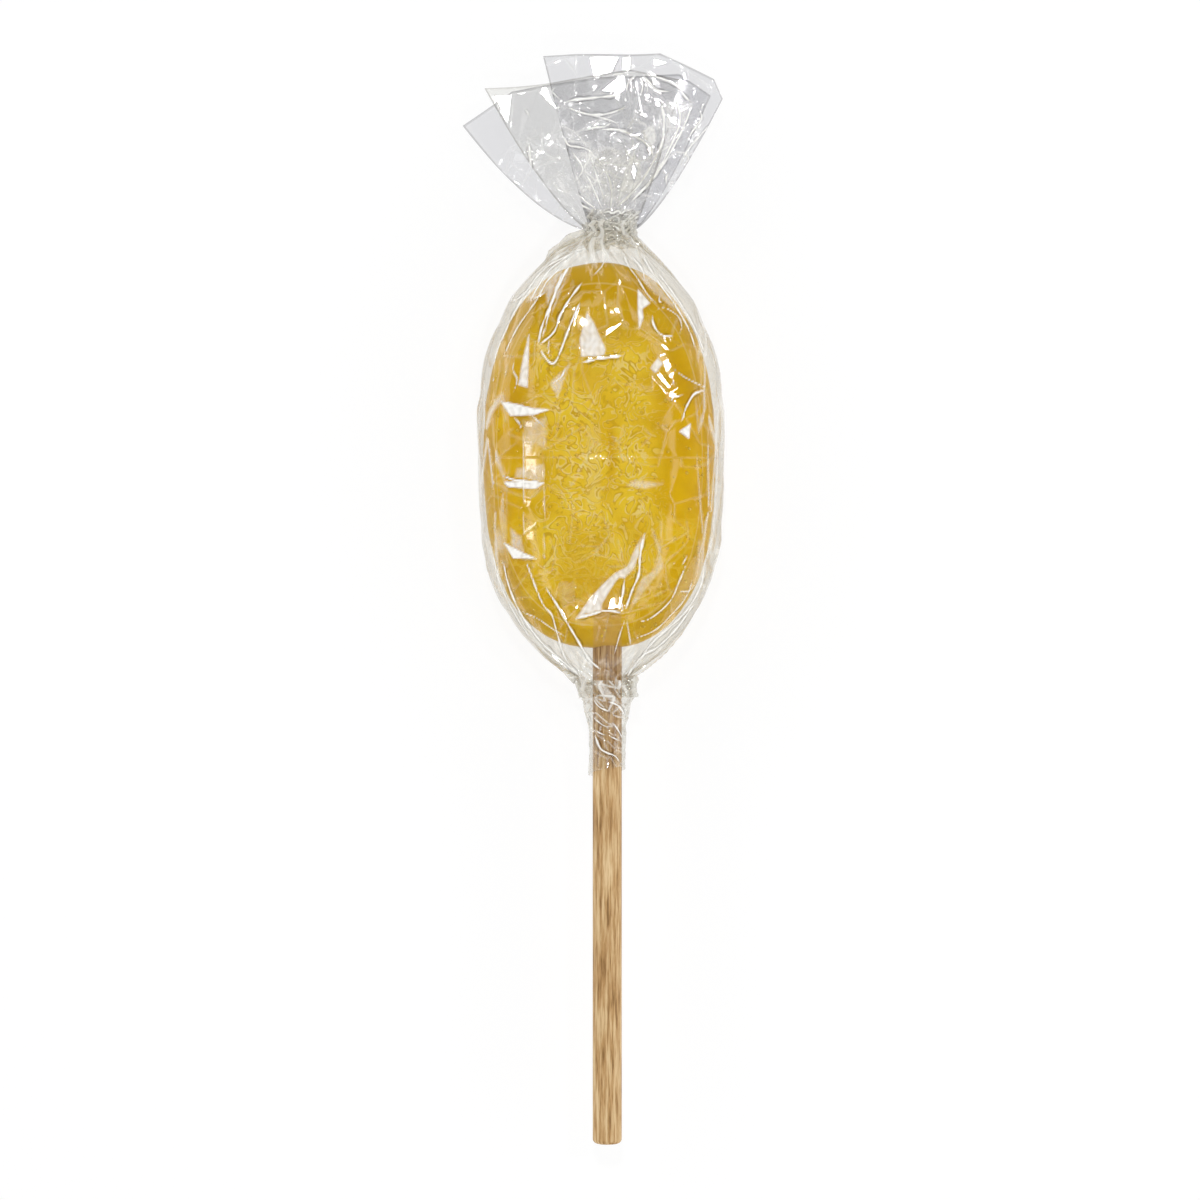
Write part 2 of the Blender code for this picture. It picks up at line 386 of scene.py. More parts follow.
def bare_birch():
    material, tree = new_material("bare_birch")
    place = add(tree, "ShaderNodeTexCoord").outputs["Object"]
    along = add(tree, "ShaderNodeMapping", {"Vector": place, "Scale": (1.0, 0.06, 1.0)})
    streaks = add(tree, "ShaderNodeTexNoise", {
        "Vector": along, "Scale": 1 / STREAK_SIZE, "Detail": 4.0, "Roughness": 0.65,
    })
    grain = add(tree, "ShaderNodeValToRGB", {0: streaks.outputs["Fac"]})
    set_stops(grain, (0.34, colour("#8e6b3c")), (0.46, colour("#c39c67")), (0.62, colour("#e6cca0")))
    tone = add(tree, "ShaderNodeTexNoise", {"Vector": place, "Scale": 1 / TONE_SIZE, "Detail": 2.0})
    shade = add(tree, "ShaderNodeMix", {
        "Factor": tone.outputs["Fac"], "A": grain.outputs["Color"], "B": colour("#dacdb8"),
    }, data_type="RGBA", blend_type="MULTIPLY")
    relief = add(tree, "ShaderNodeBump", {
        "Strength": 0.5, "Distance": 0.12 * MM, "Height": streaks.outputs["Fac"],
    })
    wood = add(tree, "ShaderNodeBsdfPrincipled", {
        "Base Color": shade.outputs["Result"], "Roughness": 0.62, "IOR": 1.45, "Normal": relief,
    })
    add(tree, "ShaderNodeOutputMaterial", {"Surface": wood})
    return material


BIRCH = bare_birch()

# %% [markdown]
# ## Clear film
# The wrapping is cellulose or polypropylene film, a few hundredths of a millimetre thick. It lets most
# light straight through and mirrors the rest: a twenty-fifth where it is seen square on and nearly all
# where it is seen edge on, which is Schlick's rule. Edge on, the eye also looks through more of it, so it
# greys. The fan's layers lie together and look greyer, so they have a tint of their own. So has the
# gathered film of the twist and the collar, whose many steep folds would otherwise grey it too much.
# A sharp crease gets a painted highlight on its crest and painted shade on the film bent on both sides of
# it, and patches of film get painted haze. Each sheet stores that as an attribute from -1, painted shade,
# to 1, painted white.

# %% The film's materials
SQUARE_ON_MIRROR = 0.04
WHITEST = 0.95


def clear_film(name, flat_tint, steep_tint):
    material, tree = new_material(name)
    slant = add(tree, "ShaderNodeLayerWeight", {"Blend": 0.5}).outputs["Facing"]
    tint = painted(tree, colour(flat_tint), ((slant, steep_tint),))
    # Painted light and shade: below 0 the film is painted darker, as painted shade, and above 0 it is painted
    # white, as a highlight
    painted_light_and_shade = add(tree, "ShaderNodeAttribute", attribute_name="painted_light_and_shade").outputs["Fac"]
    darkened = add(tree, "ShaderNodeMapRange", {"Value": painted_light_and_shade, "From Max": -1.0})
    shade = painted(tree, tint, ((darkened, "#8c8a86"),))
    clear = add(tree, "ShaderNodeBsdfTransparent", {"Color": shade})
    mirror = add(tree, "ShaderNodeBsdfGlossy", {"Color": (1, 1, 1, 1), "Roughness": 0.05})
    steep = add(tree, "ShaderNodeMath", {0: slant, 1: 5.0}, operation="POWER")
    mirrored = add(tree, "ShaderNodeMath", {
        0: steep, 1: 1 - SQUARE_ON_MIRROR, 2: SQUARE_ON_MIRROR,
    }, operation="MULTIPLY_ADD")
    film = add(tree, "ShaderNodeMixShader", {0: mirrored, 1: clear, 2: mirror})
    # A white diffuse layer mixed in as a painted highlight
    highlight_white = add(tree, "ShaderNodeBsdfDiffuse", {"Color": colour("#fbfaf6")})
    whitened = add(tree, "ShaderNodeMapRange", {"Value": painted_light_and_shade, "To Max": WHITEST})
    creased = add(tree, "ShaderNodeMixShader", {0: whitened, 1: film, 2: highlight_white})
    add(tree, "ShaderNodeOutputMaterial", {"Surface": creased})
    return material


BAG_FILM = clear_film("clear_film_single", "#fcfcfb", "#f0eeea")
FAN_FILM = clear_film("clear_film_doubled", "#f5f5f6", "#e9e9eb")
GATHERED_FILM = clear_film("clear_film_gathered", "#fcfcfb", "#f2f1ee")

# %% [markdown]
# ## The candy
# The candy is a cushion: an oval seen from above, flat on its faces and round at its rim. A rule makes
# that form from a ball, so Geometry Nodes suit it. Each point of a unit ball moves in or out along its
# own ray until the powers of its coordinates add up to 1, which is the rule of a superellipsoid, and the
# result is stretched to the three half-sizes. The stick's end of the oval is a little squarer than the
# other. A slow noise makes the face as uneven as pressed sugar, and a low moulded ridge runs round the
# rim. The tree also stores how near the rim each point is, for the material to read.

# %% Helpers for geometry nodes


def tree_with(name, sizes):
    """A geometry node group with a named input for each size, and the sockets that give those."""
    tree = bpy.data.node_groups.new(name, "GeometryNodeTree")
    tree.interface.new_socket("Geometry", in_out="OUTPUT", socket_type="NodeSocketGeometry")
    tree.interface.new_socket("Geometry", in_out="INPUT", socket_type="NodeSocketGeometry")
    for size, value in sizes.items():
        kind = "NodeSocketInt" if isinstance(value, int) else "NodeSocketFloat"
        tree.interface.new_socket(size, in_out="INPUT", socket_type=kind)
    return tree, add(tree, "NodeGroupInput").outputs


def finish_tree(tree, shape, material):
    """Ends a geometry node group with a smooth plain mesh in its material."""
    smooth = add(tree, "GeometryNodeSetShadeSmooth", {"Geometry": shape})
    real = add(tree, "GeometryNodeRealizeInstances", {"Geometry": smooth})
    finished = add(tree, "GeometryNodeSetMaterial", {"Geometry": real, "Material": material})
    add(tree, "NodeGroupOutput", {0: finished})
    return tree


def mesh_from(name, tree, sizes, start=None):
    """Runs a geometry node group on a start mesh with these sizes, and keeps the plain mesh it makes."""
    obj = new_object(name, start or bpy.data.meshes.new(name))
    modifier = obj.modifiers.new(name, "NODES")
    modifier.node_group = tree
    for item in tree.interface.items_tree:
        if item.in_out == "INPUT" and item.name in sizes:
            modifier[item.identifier] = sizes[item.name]
    graph = bpy.context.evaluated_depsgraph_get()
    mesh = bpy.data.meshes.new_from_object(obj.evaluated_get(graph))
    mesh.name = name
    obj.modifiers.clear()
    obj.data = mesh
    print(name, "has", sum(len(face.vertices) - 2 for face in mesh.polygons), "triangles")
    return obj


# %% Build the candy
LUMP_LEVEL = 0.6
CANDY_SIZES = {
    "Half Width": CANDY_HALF.x,
    "Half Length": CANDY_HALF.y,
    "Half Thickness": CANDY_HALF.z,
    "Top Power": 2.25,
    "Foot Power": 2.5,
    "Section Power": 2.8,
    "Lumps Per Metre": 260.0,
    "Lump Height": 0.0005,
    "Ridge Height": 0.00012,
}


def candy_tree(sizes):
    tree, given = tree_with("cushion_candy", sizes)
    ball = add(tree, "GeometryNodeMeshUVSphere", {"Segments": 192, "Rings": 128, "Radius": 1.0})
    ray = add(tree, "GeometryNodeInputPosition")
    side = add(tree, "ShaderNodeSeparateXYZ", {0: ray}).outputs["Y"]
    size = add(tree, "ShaderNodeVectorMath", {0: ray}, operation="ABSOLUTE")
    size = add(tree, "ShaderNodeSeparateXYZ", {0: size}).outputs

    # How far along its ray each point goes
    upper = add(tree, "ShaderNodeMath", {0: side, 1: 0.0}, operation="GREATER_THAN")
    outline = add(tree, "ShaderNodeMix", {
        "Factor": upper, "A": given["Foot Power"], "B": given["Top Power"],
    }).outputs["Result"]
    section = given["Section Power"]
    across = add(tree, "ShaderNodeMath", {0: size["X"], 1: outline}, operation="POWER")
    along = add(tree, "ShaderNodeMath", {0: size["Y"], 1: outline}, operation="POWER")
    level = add(tree, "ShaderNodeMath", {0: across, 1: along}, operation="ADD")
    ratio = add(tree, "ShaderNodeMath", {0: section, 1: outline}, operation="DIVIDE")
    level = add(tree, "ShaderNodeMath", {0: level, 1: ratio}, operation="POWER")
    up = add(tree, "ShaderNodeMath", {0: size["Z"], 1: section}, operation="POWER")
    total = add(tree, "ShaderNodeMath", {0: level, 1: up}, operation="ADD")
    root = add(tree, "ShaderNodeMath", {0: -1.0, 1: section}, operation="DIVIDE")
    reach = add(tree, "ShaderNodeMath", {0: total, 1: root}, operation="POWER")
    rim = add(tree, "ShaderNodeMath", {0: level, 1: total}, operation="DIVIDE")
    shaped = add(tree, "ShaderNodeVectorMath", {0: ray, "Scale": reach}, operation="SCALE")
    halves = add(tree, "ShaderNodeCombineXYZ", {
        0: given["Half Width"], 1: given["Half Length"], 2: given["Half Thickness"],
    })
    place = add(tree, "ShaderNodeVectorMath", {0: shaped, 1: halves}, operation="MULTIPLY")

    # Lumps, most of which sink, and the moulded ridge
    noise = add(tree, "ShaderNodeTexNoise", {
        "Vector": place, "Scale": given["Lumps Per Metre"], "Detail": 2.0,
    })
    lump = add(tree, "ShaderNodeMath", {0: noise.outputs["Fac"], 1: LUMP_LEVEL}, operation="SUBTRACT")
    lump = add(tree, "ShaderNodeMath", {0: lump, 1: given["Lump Height"]}, operation="MULTIPLY")
    ridge = strip(tree, rim, RIM_SHARE, 0.0, 0.05)
    height = add(tree, "ShaderNodeMath", {
        0: ridge, 1: given["Ridge Height"], 2: lump,
    }, operation="MULTIPLY_ADD")
    outwards = add(tree, "GeometryNodeInputNormal")
    lift = add(tree, "ShaderNodeVectorMath", {0: outwards, "Scale": height}, operation="SCALE")

    marked = add(tree, "GeometryNodeStoreNamedAttribute", {
        "Geometry": ball, "Name": "rim_share", "Value": rim,
    }, data_type="FLOAT")
    cushion = add(tree, "GeometryNodeSetPosition", {"Geometry": marked, "Position": place})
    uneven = add(tree, "GeometryNodeSetPosition", {"Geometry": cushion, "Offset": lift})
    return finish_tree(tree, uneven, SUGAR)


candy = mesh_from("candy_lemon", candy_tree(CANDY_SIZES), CANDY_SIZES)
candy.data.transform(Matrix.Translation(CANDY_CENTRE))

# %% [markdown]
# ## Bubbles
# Air trapped under the skin of the sugar shows as small round blisters. They repeat, so Geometry Nodes
# scatter a little ball over the candy's face, each sunk halfway into it and of its own size.

# %% Scatter the bubbles
UPRIGHT = 0.6
BUBBLE_SIZES = {
    "Per Square Metre": 1.6e5,
    "Smallest Radius": 0.00012,
    "Largest Radius": 0.0003,
    "Seed": 4,
}


def bubbles_tree(sizes):
    tree, given = tree_with("sugar_bubbles", sizes)
    outwards = add(tree, "GeometryNodeInputNormal")
    upright = add(tree, "ShaderNodeSeparateXYZ", {0: outwards}).outputs["Z"]
    face = add(tree, "ShaderNodeMath", {0: upright, 1: UPRIGHT}, operation="GREATER_THAN")
    points = add(tree, "GeometryNodeDistributePointsOnFaces", {
        "Mesh": given["Geometry"], "Selection": face,
        "Density": given["Per Square Metre"], "Seed": given["Seed"],
    })
    ball = add(tree, "GeometryNodeMeshIcoSphere", {"Radius": 1.0, "Subdivisions": 2})
    size = add(tree, "FunctionNodeRandomValue", {
        "Min": given["Smallest Radius"], "Max": given["Largest Radius"], "Seed": given["Seed"],
    }, data_type="FLOAT")
    bubbles = add(tree, "GeometryNodeInstanceOnPoints", {
        "Points": points.outputs["Points"], "Instance": ball, "Scale": size.outputs["Value"],
    })
    return finish_tree(tree, bubbles, BUBBLE_SKIN)


bubbles = mesh_from("candy_bubbles", bubbles_tree(BUBBLE_SIZES), BUBBLE_SIZES, candy.data.copy())

# %% [markdown]
# ## Sheets of film
# Every piece of film is a grid of points worked out with numpy, which moves a hundred thousand points at
# once. `sheet` turns such a grid into a mesh, and a Solidify modifier gives it a wall.

# %% Turn a grid of points into a sheet
FILM_THICKNESS = 0.04


def sheet(name, grid, film, painted_light_and_shade, closed=False):
    """A sheet of film from a grid of points in mm and their painted light and shade, joined into a tube if
    closed.
    """
    rows, columns = grid.shape[:2]
    index = np.arange(rows * columns).reshape(rows, columns)
    if closed:
        index = np.concatenate([index, index[:, :1]], axis=1)
    corners = (index[:-1, :-1], index[:-1, 1:], index[1:, 1:], index[1:, :-1])
    faces = np.stack([c.ravel() for c in corners], axis=1)
    mesh = bpy.data.meshes.new(name)
    mesh.from_pydata((grid.reshape(-1, 3) * MM).tolist(), [], faces.tolist())
    mesh.materials.append(film)
    mesh.shade_smooth()
    painted_layer = mesh.attributes.new("painted_light_and_shade", "FLOAT", "POINT")
    painted_layer.data.foreach_set("value", np.clip(painted_light_and_shade, -1, 1).ravel())
    obj = new_object(name, mesh)
    wall = obj.modifiers.new("film_wall", "SOLIDIFY")
    wall.thickness = FILM_THICKNESS * MM
    wall.offset = 0.0
    print(name, "has", 4 * len(faces), "triangles")
    return obj


def halved_sheet(names, grid, film, painted_light_and_shade):
    """Two sheets from the first and the last rows of a grid, which share its middle row."""
    middle = len(grid) // 2
    parts = slice(0, middle + 1), slice(middle, None)
    return [sheet(name, grid[part], film, painted_light_and_shade[part]) for name, part in zip(names, parts)]


def normals_of(grid):
    """Unit normals of a grid of points."""
    along, across = np.gradient(grid, axis=0), np.gradient(grid, axis=1)
    normal = np.cross(across, along)
    return normal / np.maximum(np.linalg.norm(normal, axis=-1, keepdims=True), 1e-9)


# %% [markdown]
# ## Crumples
# Crumpled film is made of flat facets that meet at straight creases. Scatter some points: the squared
# distance to the nearest of them, less the same for a second scattering, is made of exactly such facets.
# The first scattering gives folds that stand up, the second folds that sink. Halfway between the two
# nearest points of one scattering lies a crease. Real creases come and go, so about half of them, picked
# by a number worked out from the pair of points, also carry a fine rounded ridge that catches the light.

# %% Crumple functions
BATCH = 8192


def nearest_two(points, seeds):
    """Squared distances to the two nearest seeds, and a ridge share for the crease between those two."""
    flat = points.reshape(-1, points.shape[-1])
    nearest, second, apart, chosen = (np.empty(len(flat)) for _ in range(4))
    for start in range(0, len(flat), BATCH):
        part = slice(start, start + BATCH)
        squared = ((flat[part, None] - seeds[None]) ** 2).sum(-1)
        order = np.argpartition(squared, 1, axis=1)[:, :2]
        pair = np.take_along_axis(squared, order, axis=1)
        nearest[part], second[part] = pair.min(1), pair.max(1)
        apart[part] = np.linalg.norm(seeds[order[:, 0]] - seeds[order[:, 1]], axis=1)
        chosen[part] = np.sin(order.sum(1) * 12.99 + order.prod(1) * 0.78)
    return [values.reshape(points.shape[:-1]) for values in (nearest, second, apart, chosen)]


def rounded_ridge(away, half_width):
    """1 on a ridge's crest, falling smoothly to 0 at its half width."""
    return 0.5 + 0.5 * np.cos(np.pi * np.clip(away / half_width, 0, 1))


def crumple(points, rng, spacing, slope, ridge=0.0, half_width=0.35):
    """Heights of facets about this size and slope, ridged along half of the creases, and those ridges."""
    low = points.reshape(-1, points.shape[-1]).min(0) - spacing
    high = points.reshape(-1, points.shape[-1]).max(0) + spacing
    count = int(np.prod((high - low) / spacing)) + 2
    height, lines = np.zeros(points.shape[:-1]), np.zeros(points.shape[:-1])
    for sign in (1, -1):
        seeds = rng.uniform(low, high, (count, len(low)))
        nearest, second, apart, chosen = nearest_two(points, seeds)
        height += sign * slope / (2 * spacing) * nearest
        to_crease = (second - nearest) / (2 * np.maximum(apart, 1e-6))
        line = smoothstep(-0.1, 0.5, chosen) * rounded_ridge(to_crease, half_width)
        height += ridge * line
        lines = np.maximum(lines, line)
    return height, lines


# %% [markdown]
# ## Creases, flaps and painted haze
# The folds that give this wrapping its face are laid where they are seen. A crease follows a curve through
# a few points, with a painted highlight on its crest and painted shade beside it. A flap is an outline
# inside which the film lies in the one plane that throws a softbox's light into the camera, so that the
# whole of it flashes. Haze is painted white inside an outline, as a painted highlight that stands in for
# the film's reflections. Places are in millimetres from the candy's middle.

# %% Crease and flap functions


def rounded(route, steps=8):
    """More points, on a smooth curve through a route's own."""
    route = np.array(route, float)
    ends = np.vstack([2 * route[0] - route[1], route, 2 * route[-1] - route[-2]])
    t = np.linspace(0, 1, steps, endpoint=False)[:, None]
    curve = [
        b + 0.5 * t * (c - a + t * (2 * a - 5 * b + 4 * c - d + t * (3 * b - a - 3 * c + d)))
        for a, b, c, d in zip(ends, ends[1:], ends[2:], ends[3:])
    ]
    return np.vstack([*curve, route[-1:]])


def nearest_on(x, y, route):
    """The distance from each point to a route, and how far along the route its nearest place is."""
    away, gone, before = np.full(x.shape, np.inf), np.zeros(x.shape), 0.0
    for (ax, ay), (bx, by) in zip(route, route[1:]):
        length = max(math.hypot(bx - ax, by - ay), 1e-6)
        share = np.clip(((x - ax) * (bx - ax) + (y - ay) * (by - ay)) / length**2, 0, 1)
        here = np.hypot(x - ax - share * (bx - ax), y - ay - share * (by - ay))
        gone = np.where(here < away, before + share * length, gone)
        away = np.minimum(away, here)
        before += length
    return away, gone, before


def lay_creases(grid, painted_light_and_shade, creases):
    """Raises a fold along each route, with a painted highlight on its crest and painted shade beside it. The
    value before a route is how bold the fold is.
    """
    x, y = grid[..., 0].copy(), grid[..., 1].copy()
    for bold, *route in creases:
        away, gone, total = nearest_on(x, y, rounded(route))
        fade = smoothstep(0, 1.5, gone) * smoothstep(0, 1.5, total - gone)
        swell = 0.75 + 0.35 * np.sin(1.9 * gone + 5 * bold) * np.sin(0.7 * gone + total)
        half_width = (0.10 + 0.16 * bold) * swell * (0.45 + 0.55 * fade)
        crest = fade * rounded_ridge(away, half_width)
        flank = fade * rounded_ridge(np.abs(away - 1.5 * half_width), 0.8 * half_width)
        grid[..., 2] += 0.3 * half_width * crest
        # Painted highlight on the crest, painted shade on the flanks
        painted_light_and_shade += min(1.6 * bold, 1.3) * (crest - 0.25 * flank)


def within(x, y, outline):
    """The distance from each point to an outline, negative outside it."""
    away = nearest_on(x, y, [*outline, outline[0]])[0]
    odd = np.zeros(x.shape, bool)
    for (ax, ay), (bx, by) in zip(outline, [*outline[1:], outline[0]]):
        crosses = (ay > y) != (by > y)
        odd ^= crosses & (x < ax + (y - ay) * (bx - ax) / (by - ay + 1e-9))
    return np.where(odd, away, -away)


def lay_painted_haze(grid, painted_light_and_shade, patches):
    """Paints the film white inside each outline, unevenly, as a painted highlight. The value before an
    outline is how white.
    """
    x, y = grid[..., 0], grid[..., 1]
    mottle = 1 + 0.3 * np.sin(2.6 * x + 2.2 * np.sin(1.7 * y)) * np.sin(1.9 * y + 1.8 * np.sin(2.9 * x))
    for white, *outline in patches:
        softness = 0.4 - 0.28 * white
        painted_light_and_shade += white * mottle * smoothstep(-softness, softness, within(x, y, outline))


def lay_flaps(grid, painted_light_and_shade, flaps, sunk=0.3):
    """Lays the film inside each outline in the plane that throws a light's reflection to the camera."""
    x, y, z = grid[..., 0], grid[..., 1], grid[..., 2]
    for light, *outline in flaps:
        middle = np.mean(outline, axis=0)
        at = np.argmin((x - middle[0]) ** 2 + (y - middle[1]) ** 2)
        place = Vector((*middle, z.flat[at])) * MM
        facing = (LIGHT_PLACES[light] - place).normalized() + (camera.location - place).normalized()
        fall = (facing.x * (x - middle[0]) + facing.y * (y - middle[1])) / facing.z
        inside = within(x, y, outline)
        plane = (z + fall)[inside > 0].max() - sunk - fall
        share = smoothstep(-0.1, 0.12, inside)
        z[...] = blend(z, plane, share)
        painted_light_and_shade *= 1 - share


# %% [markdown]
# ## The bag of film round the candy
# The bag is a tube whose rings widen from the collar to the belly and close in to the upper twist. It is
# made in two halves, front and back. The film is pulled tight over a rounded body, so it takes flat
# facets where it turns. Those come from planes laid against the tube at scattered points: the film
# goes no further out than the nearest of them. Pleats run out from both ends, where the film is gathered,
# and long fine ones run down both sides.

# %% Measure the bag
MIDDLE_Z = CANDY_CENTRE.z / MM
HALF_DEPTH = CANDY_HALF.z / MM + 0.55
HALF_WIDTH = 19.0
BELLY_X = 0.25
TOP_REACH = 35.0
TOP_POWER = 3.0
FOOT_REACH = 35.4
FOOT_POWER = 3.3
WIDTH_FALL = 0.76
DEPTH_POWER = 4.0
DEPTH_FALL = 0.6
FILM_SECTION_POWER = 2.6
NECK_X = 1.9
NECK_Y = 35.3
NECK_RADIUS = 3.2
TIE_Y = -36.2
TIE_RADIUS = 3.6
EDGE_BENDS = np.random.default_rng(3).uniform(-0.2, 0.2, 26)
RING_STEPS = 721
FLOOR_GAP = 0.05


def bag_half_sizes(y):
    """Half the bag's width and half its depth at each y."""
    top = y > 0
    share = np.minimum(np.abs(y) / np.where(top, TOP_REACH, FOOT_REACH), 1.0)
    power = np.where(top, TOP_POWER, FOOT_POWER)
    width = HALF_WIDTH * (1 - share**power) ** WIDTH_FALL
    width += np.interp(y, np.linspace(TIE_Y, NECK_Y, len(EDGE_BENDS)), EDGE_BENDS)
    depth = HALF_DEPTH * (1 - share**DEPTH_POWER) ** DEPTH_FALL
    least = np.where(top, NECK_RADIUS, TIE_RADIUS)
    return np.maximum(width, least), np.maximum(depth, least)


def bag_centre_x(y):
    """The x of the bag's middle at each y: it leans from the stick to the upper twist."""
    to_neck = blend(BELLY_X, NECK_X, smoothstep(0.88 * NECK_Y, NECK_Y, y))
    to_tie = blend(BELLY_X, STICK_X, smoothstep(-0.92 * TIE_Y, -1.04 * TIE_Y, -y))
    return np.where(y > 0, to_neck, to_tie)


def half_ring(y, columns, side):
    """Evenly spaced points of the bag's ring at this y: its front half, side 1, or its back half, -1."""
    turn = np.linspace(0, np.pi, RING_STEPS)
    half_width, half_depth = bag_half_sizes(y)
    power = 2 / FILM_SECTION_POWER
    x = bag_centre_x(y) + half_width * np.sign(np.cos(turn)) * np.abs(np.cos(turn)) ** power
    z = MIDDLE_Z + side * half_depth * np.abs(np.sin(turn)) ** power
    gone = np.concatenate([[0], np.cumsum(np.hypot(np.diff(x), np.diff(z)))])
    at = np.linspace(0, gone[-1], columns)
    return np.stack([np.interp(at, gone, x), np.full(columns, y), np.interp(at, gone, z)], axis=1)


def bag_rows(rows):
    """The y of each ring, closer together at the ends."""
    share = -np.cos(np.linspace(0, np.pi, rows))
    share = 0.8 * share + 0.2 * share**3
    return blend(TIE_Y - 1.2, NECK_Y + 0.8, (share + 1) / 2)


# %% Facets and pleats of the bag


def angle_between(one, other):
    """The angle from one direction to another, half a turn at most."""
    return np.abs((one - other + np.pi) % (2 * np.pi) - np.pi)


def facet(grid, normals, rng, count, least_turn=0.4, furthest=0.8):
    """How far outwards the film stands from a rounded grid, to lie in planes that touch it."""
    flat, out = grid.reshape(-1, 3), normals.reshape(-1, 3)
    chosen = rng.choice(len(flat), count, replace=False)
    best = np.full(len(flat), np.inf)
    for point, normal in zip(flat[chosen], out[chosen]):
        turn = out @ normal
        reach = ((point - flat) @ normal) / np.maximum(turn, 1e-3)
        best = np.where(turn > least_turn, np.minimum(best, reach), best)
    return np.clip(best, 0, furthest).reshape(grid.shape[:-1])


def pleats(grid, rng, count, end_y, reach, height):
    """Ridges that run along the bag from one gathered end, each of its own length and height."""
    y = grid[..., 1]
    gone = np.abs(y - end_y)
    half_width, half_depth = bag_half_sizes(y)
    x = (grid[..., 0] - bag_centre_x(y)) / half_width
    z = (grid[..., 2] - MIDDLE_Z) / half_depth
    angle = np.arctan2(z, x)
    radius = np.hypot(half_width * x, half_depth * z)
    total = np.zeros(y.shape)
    for i in range(count):
        here = 2 * np.pi * (i + rng.uniform(-0.35, 0.35)) / count
        bend = rng.uniform(0.3, 1.0)
        away = angle_between(angle - here, bend * np.exp(-gone / 3.5)) * radius
        length = reach * rng.uniform(0.5, 1.2)
        width = 0.3 + 0.07 * gone * rng.uniform(0.5, 1.4)
        ridge = height * rng.uniform(0.5, 1.2) * np.clip(1 - away / width, 0, 1)
        total += ridge * np.exp(-((gone / length) ** 2))
    return total


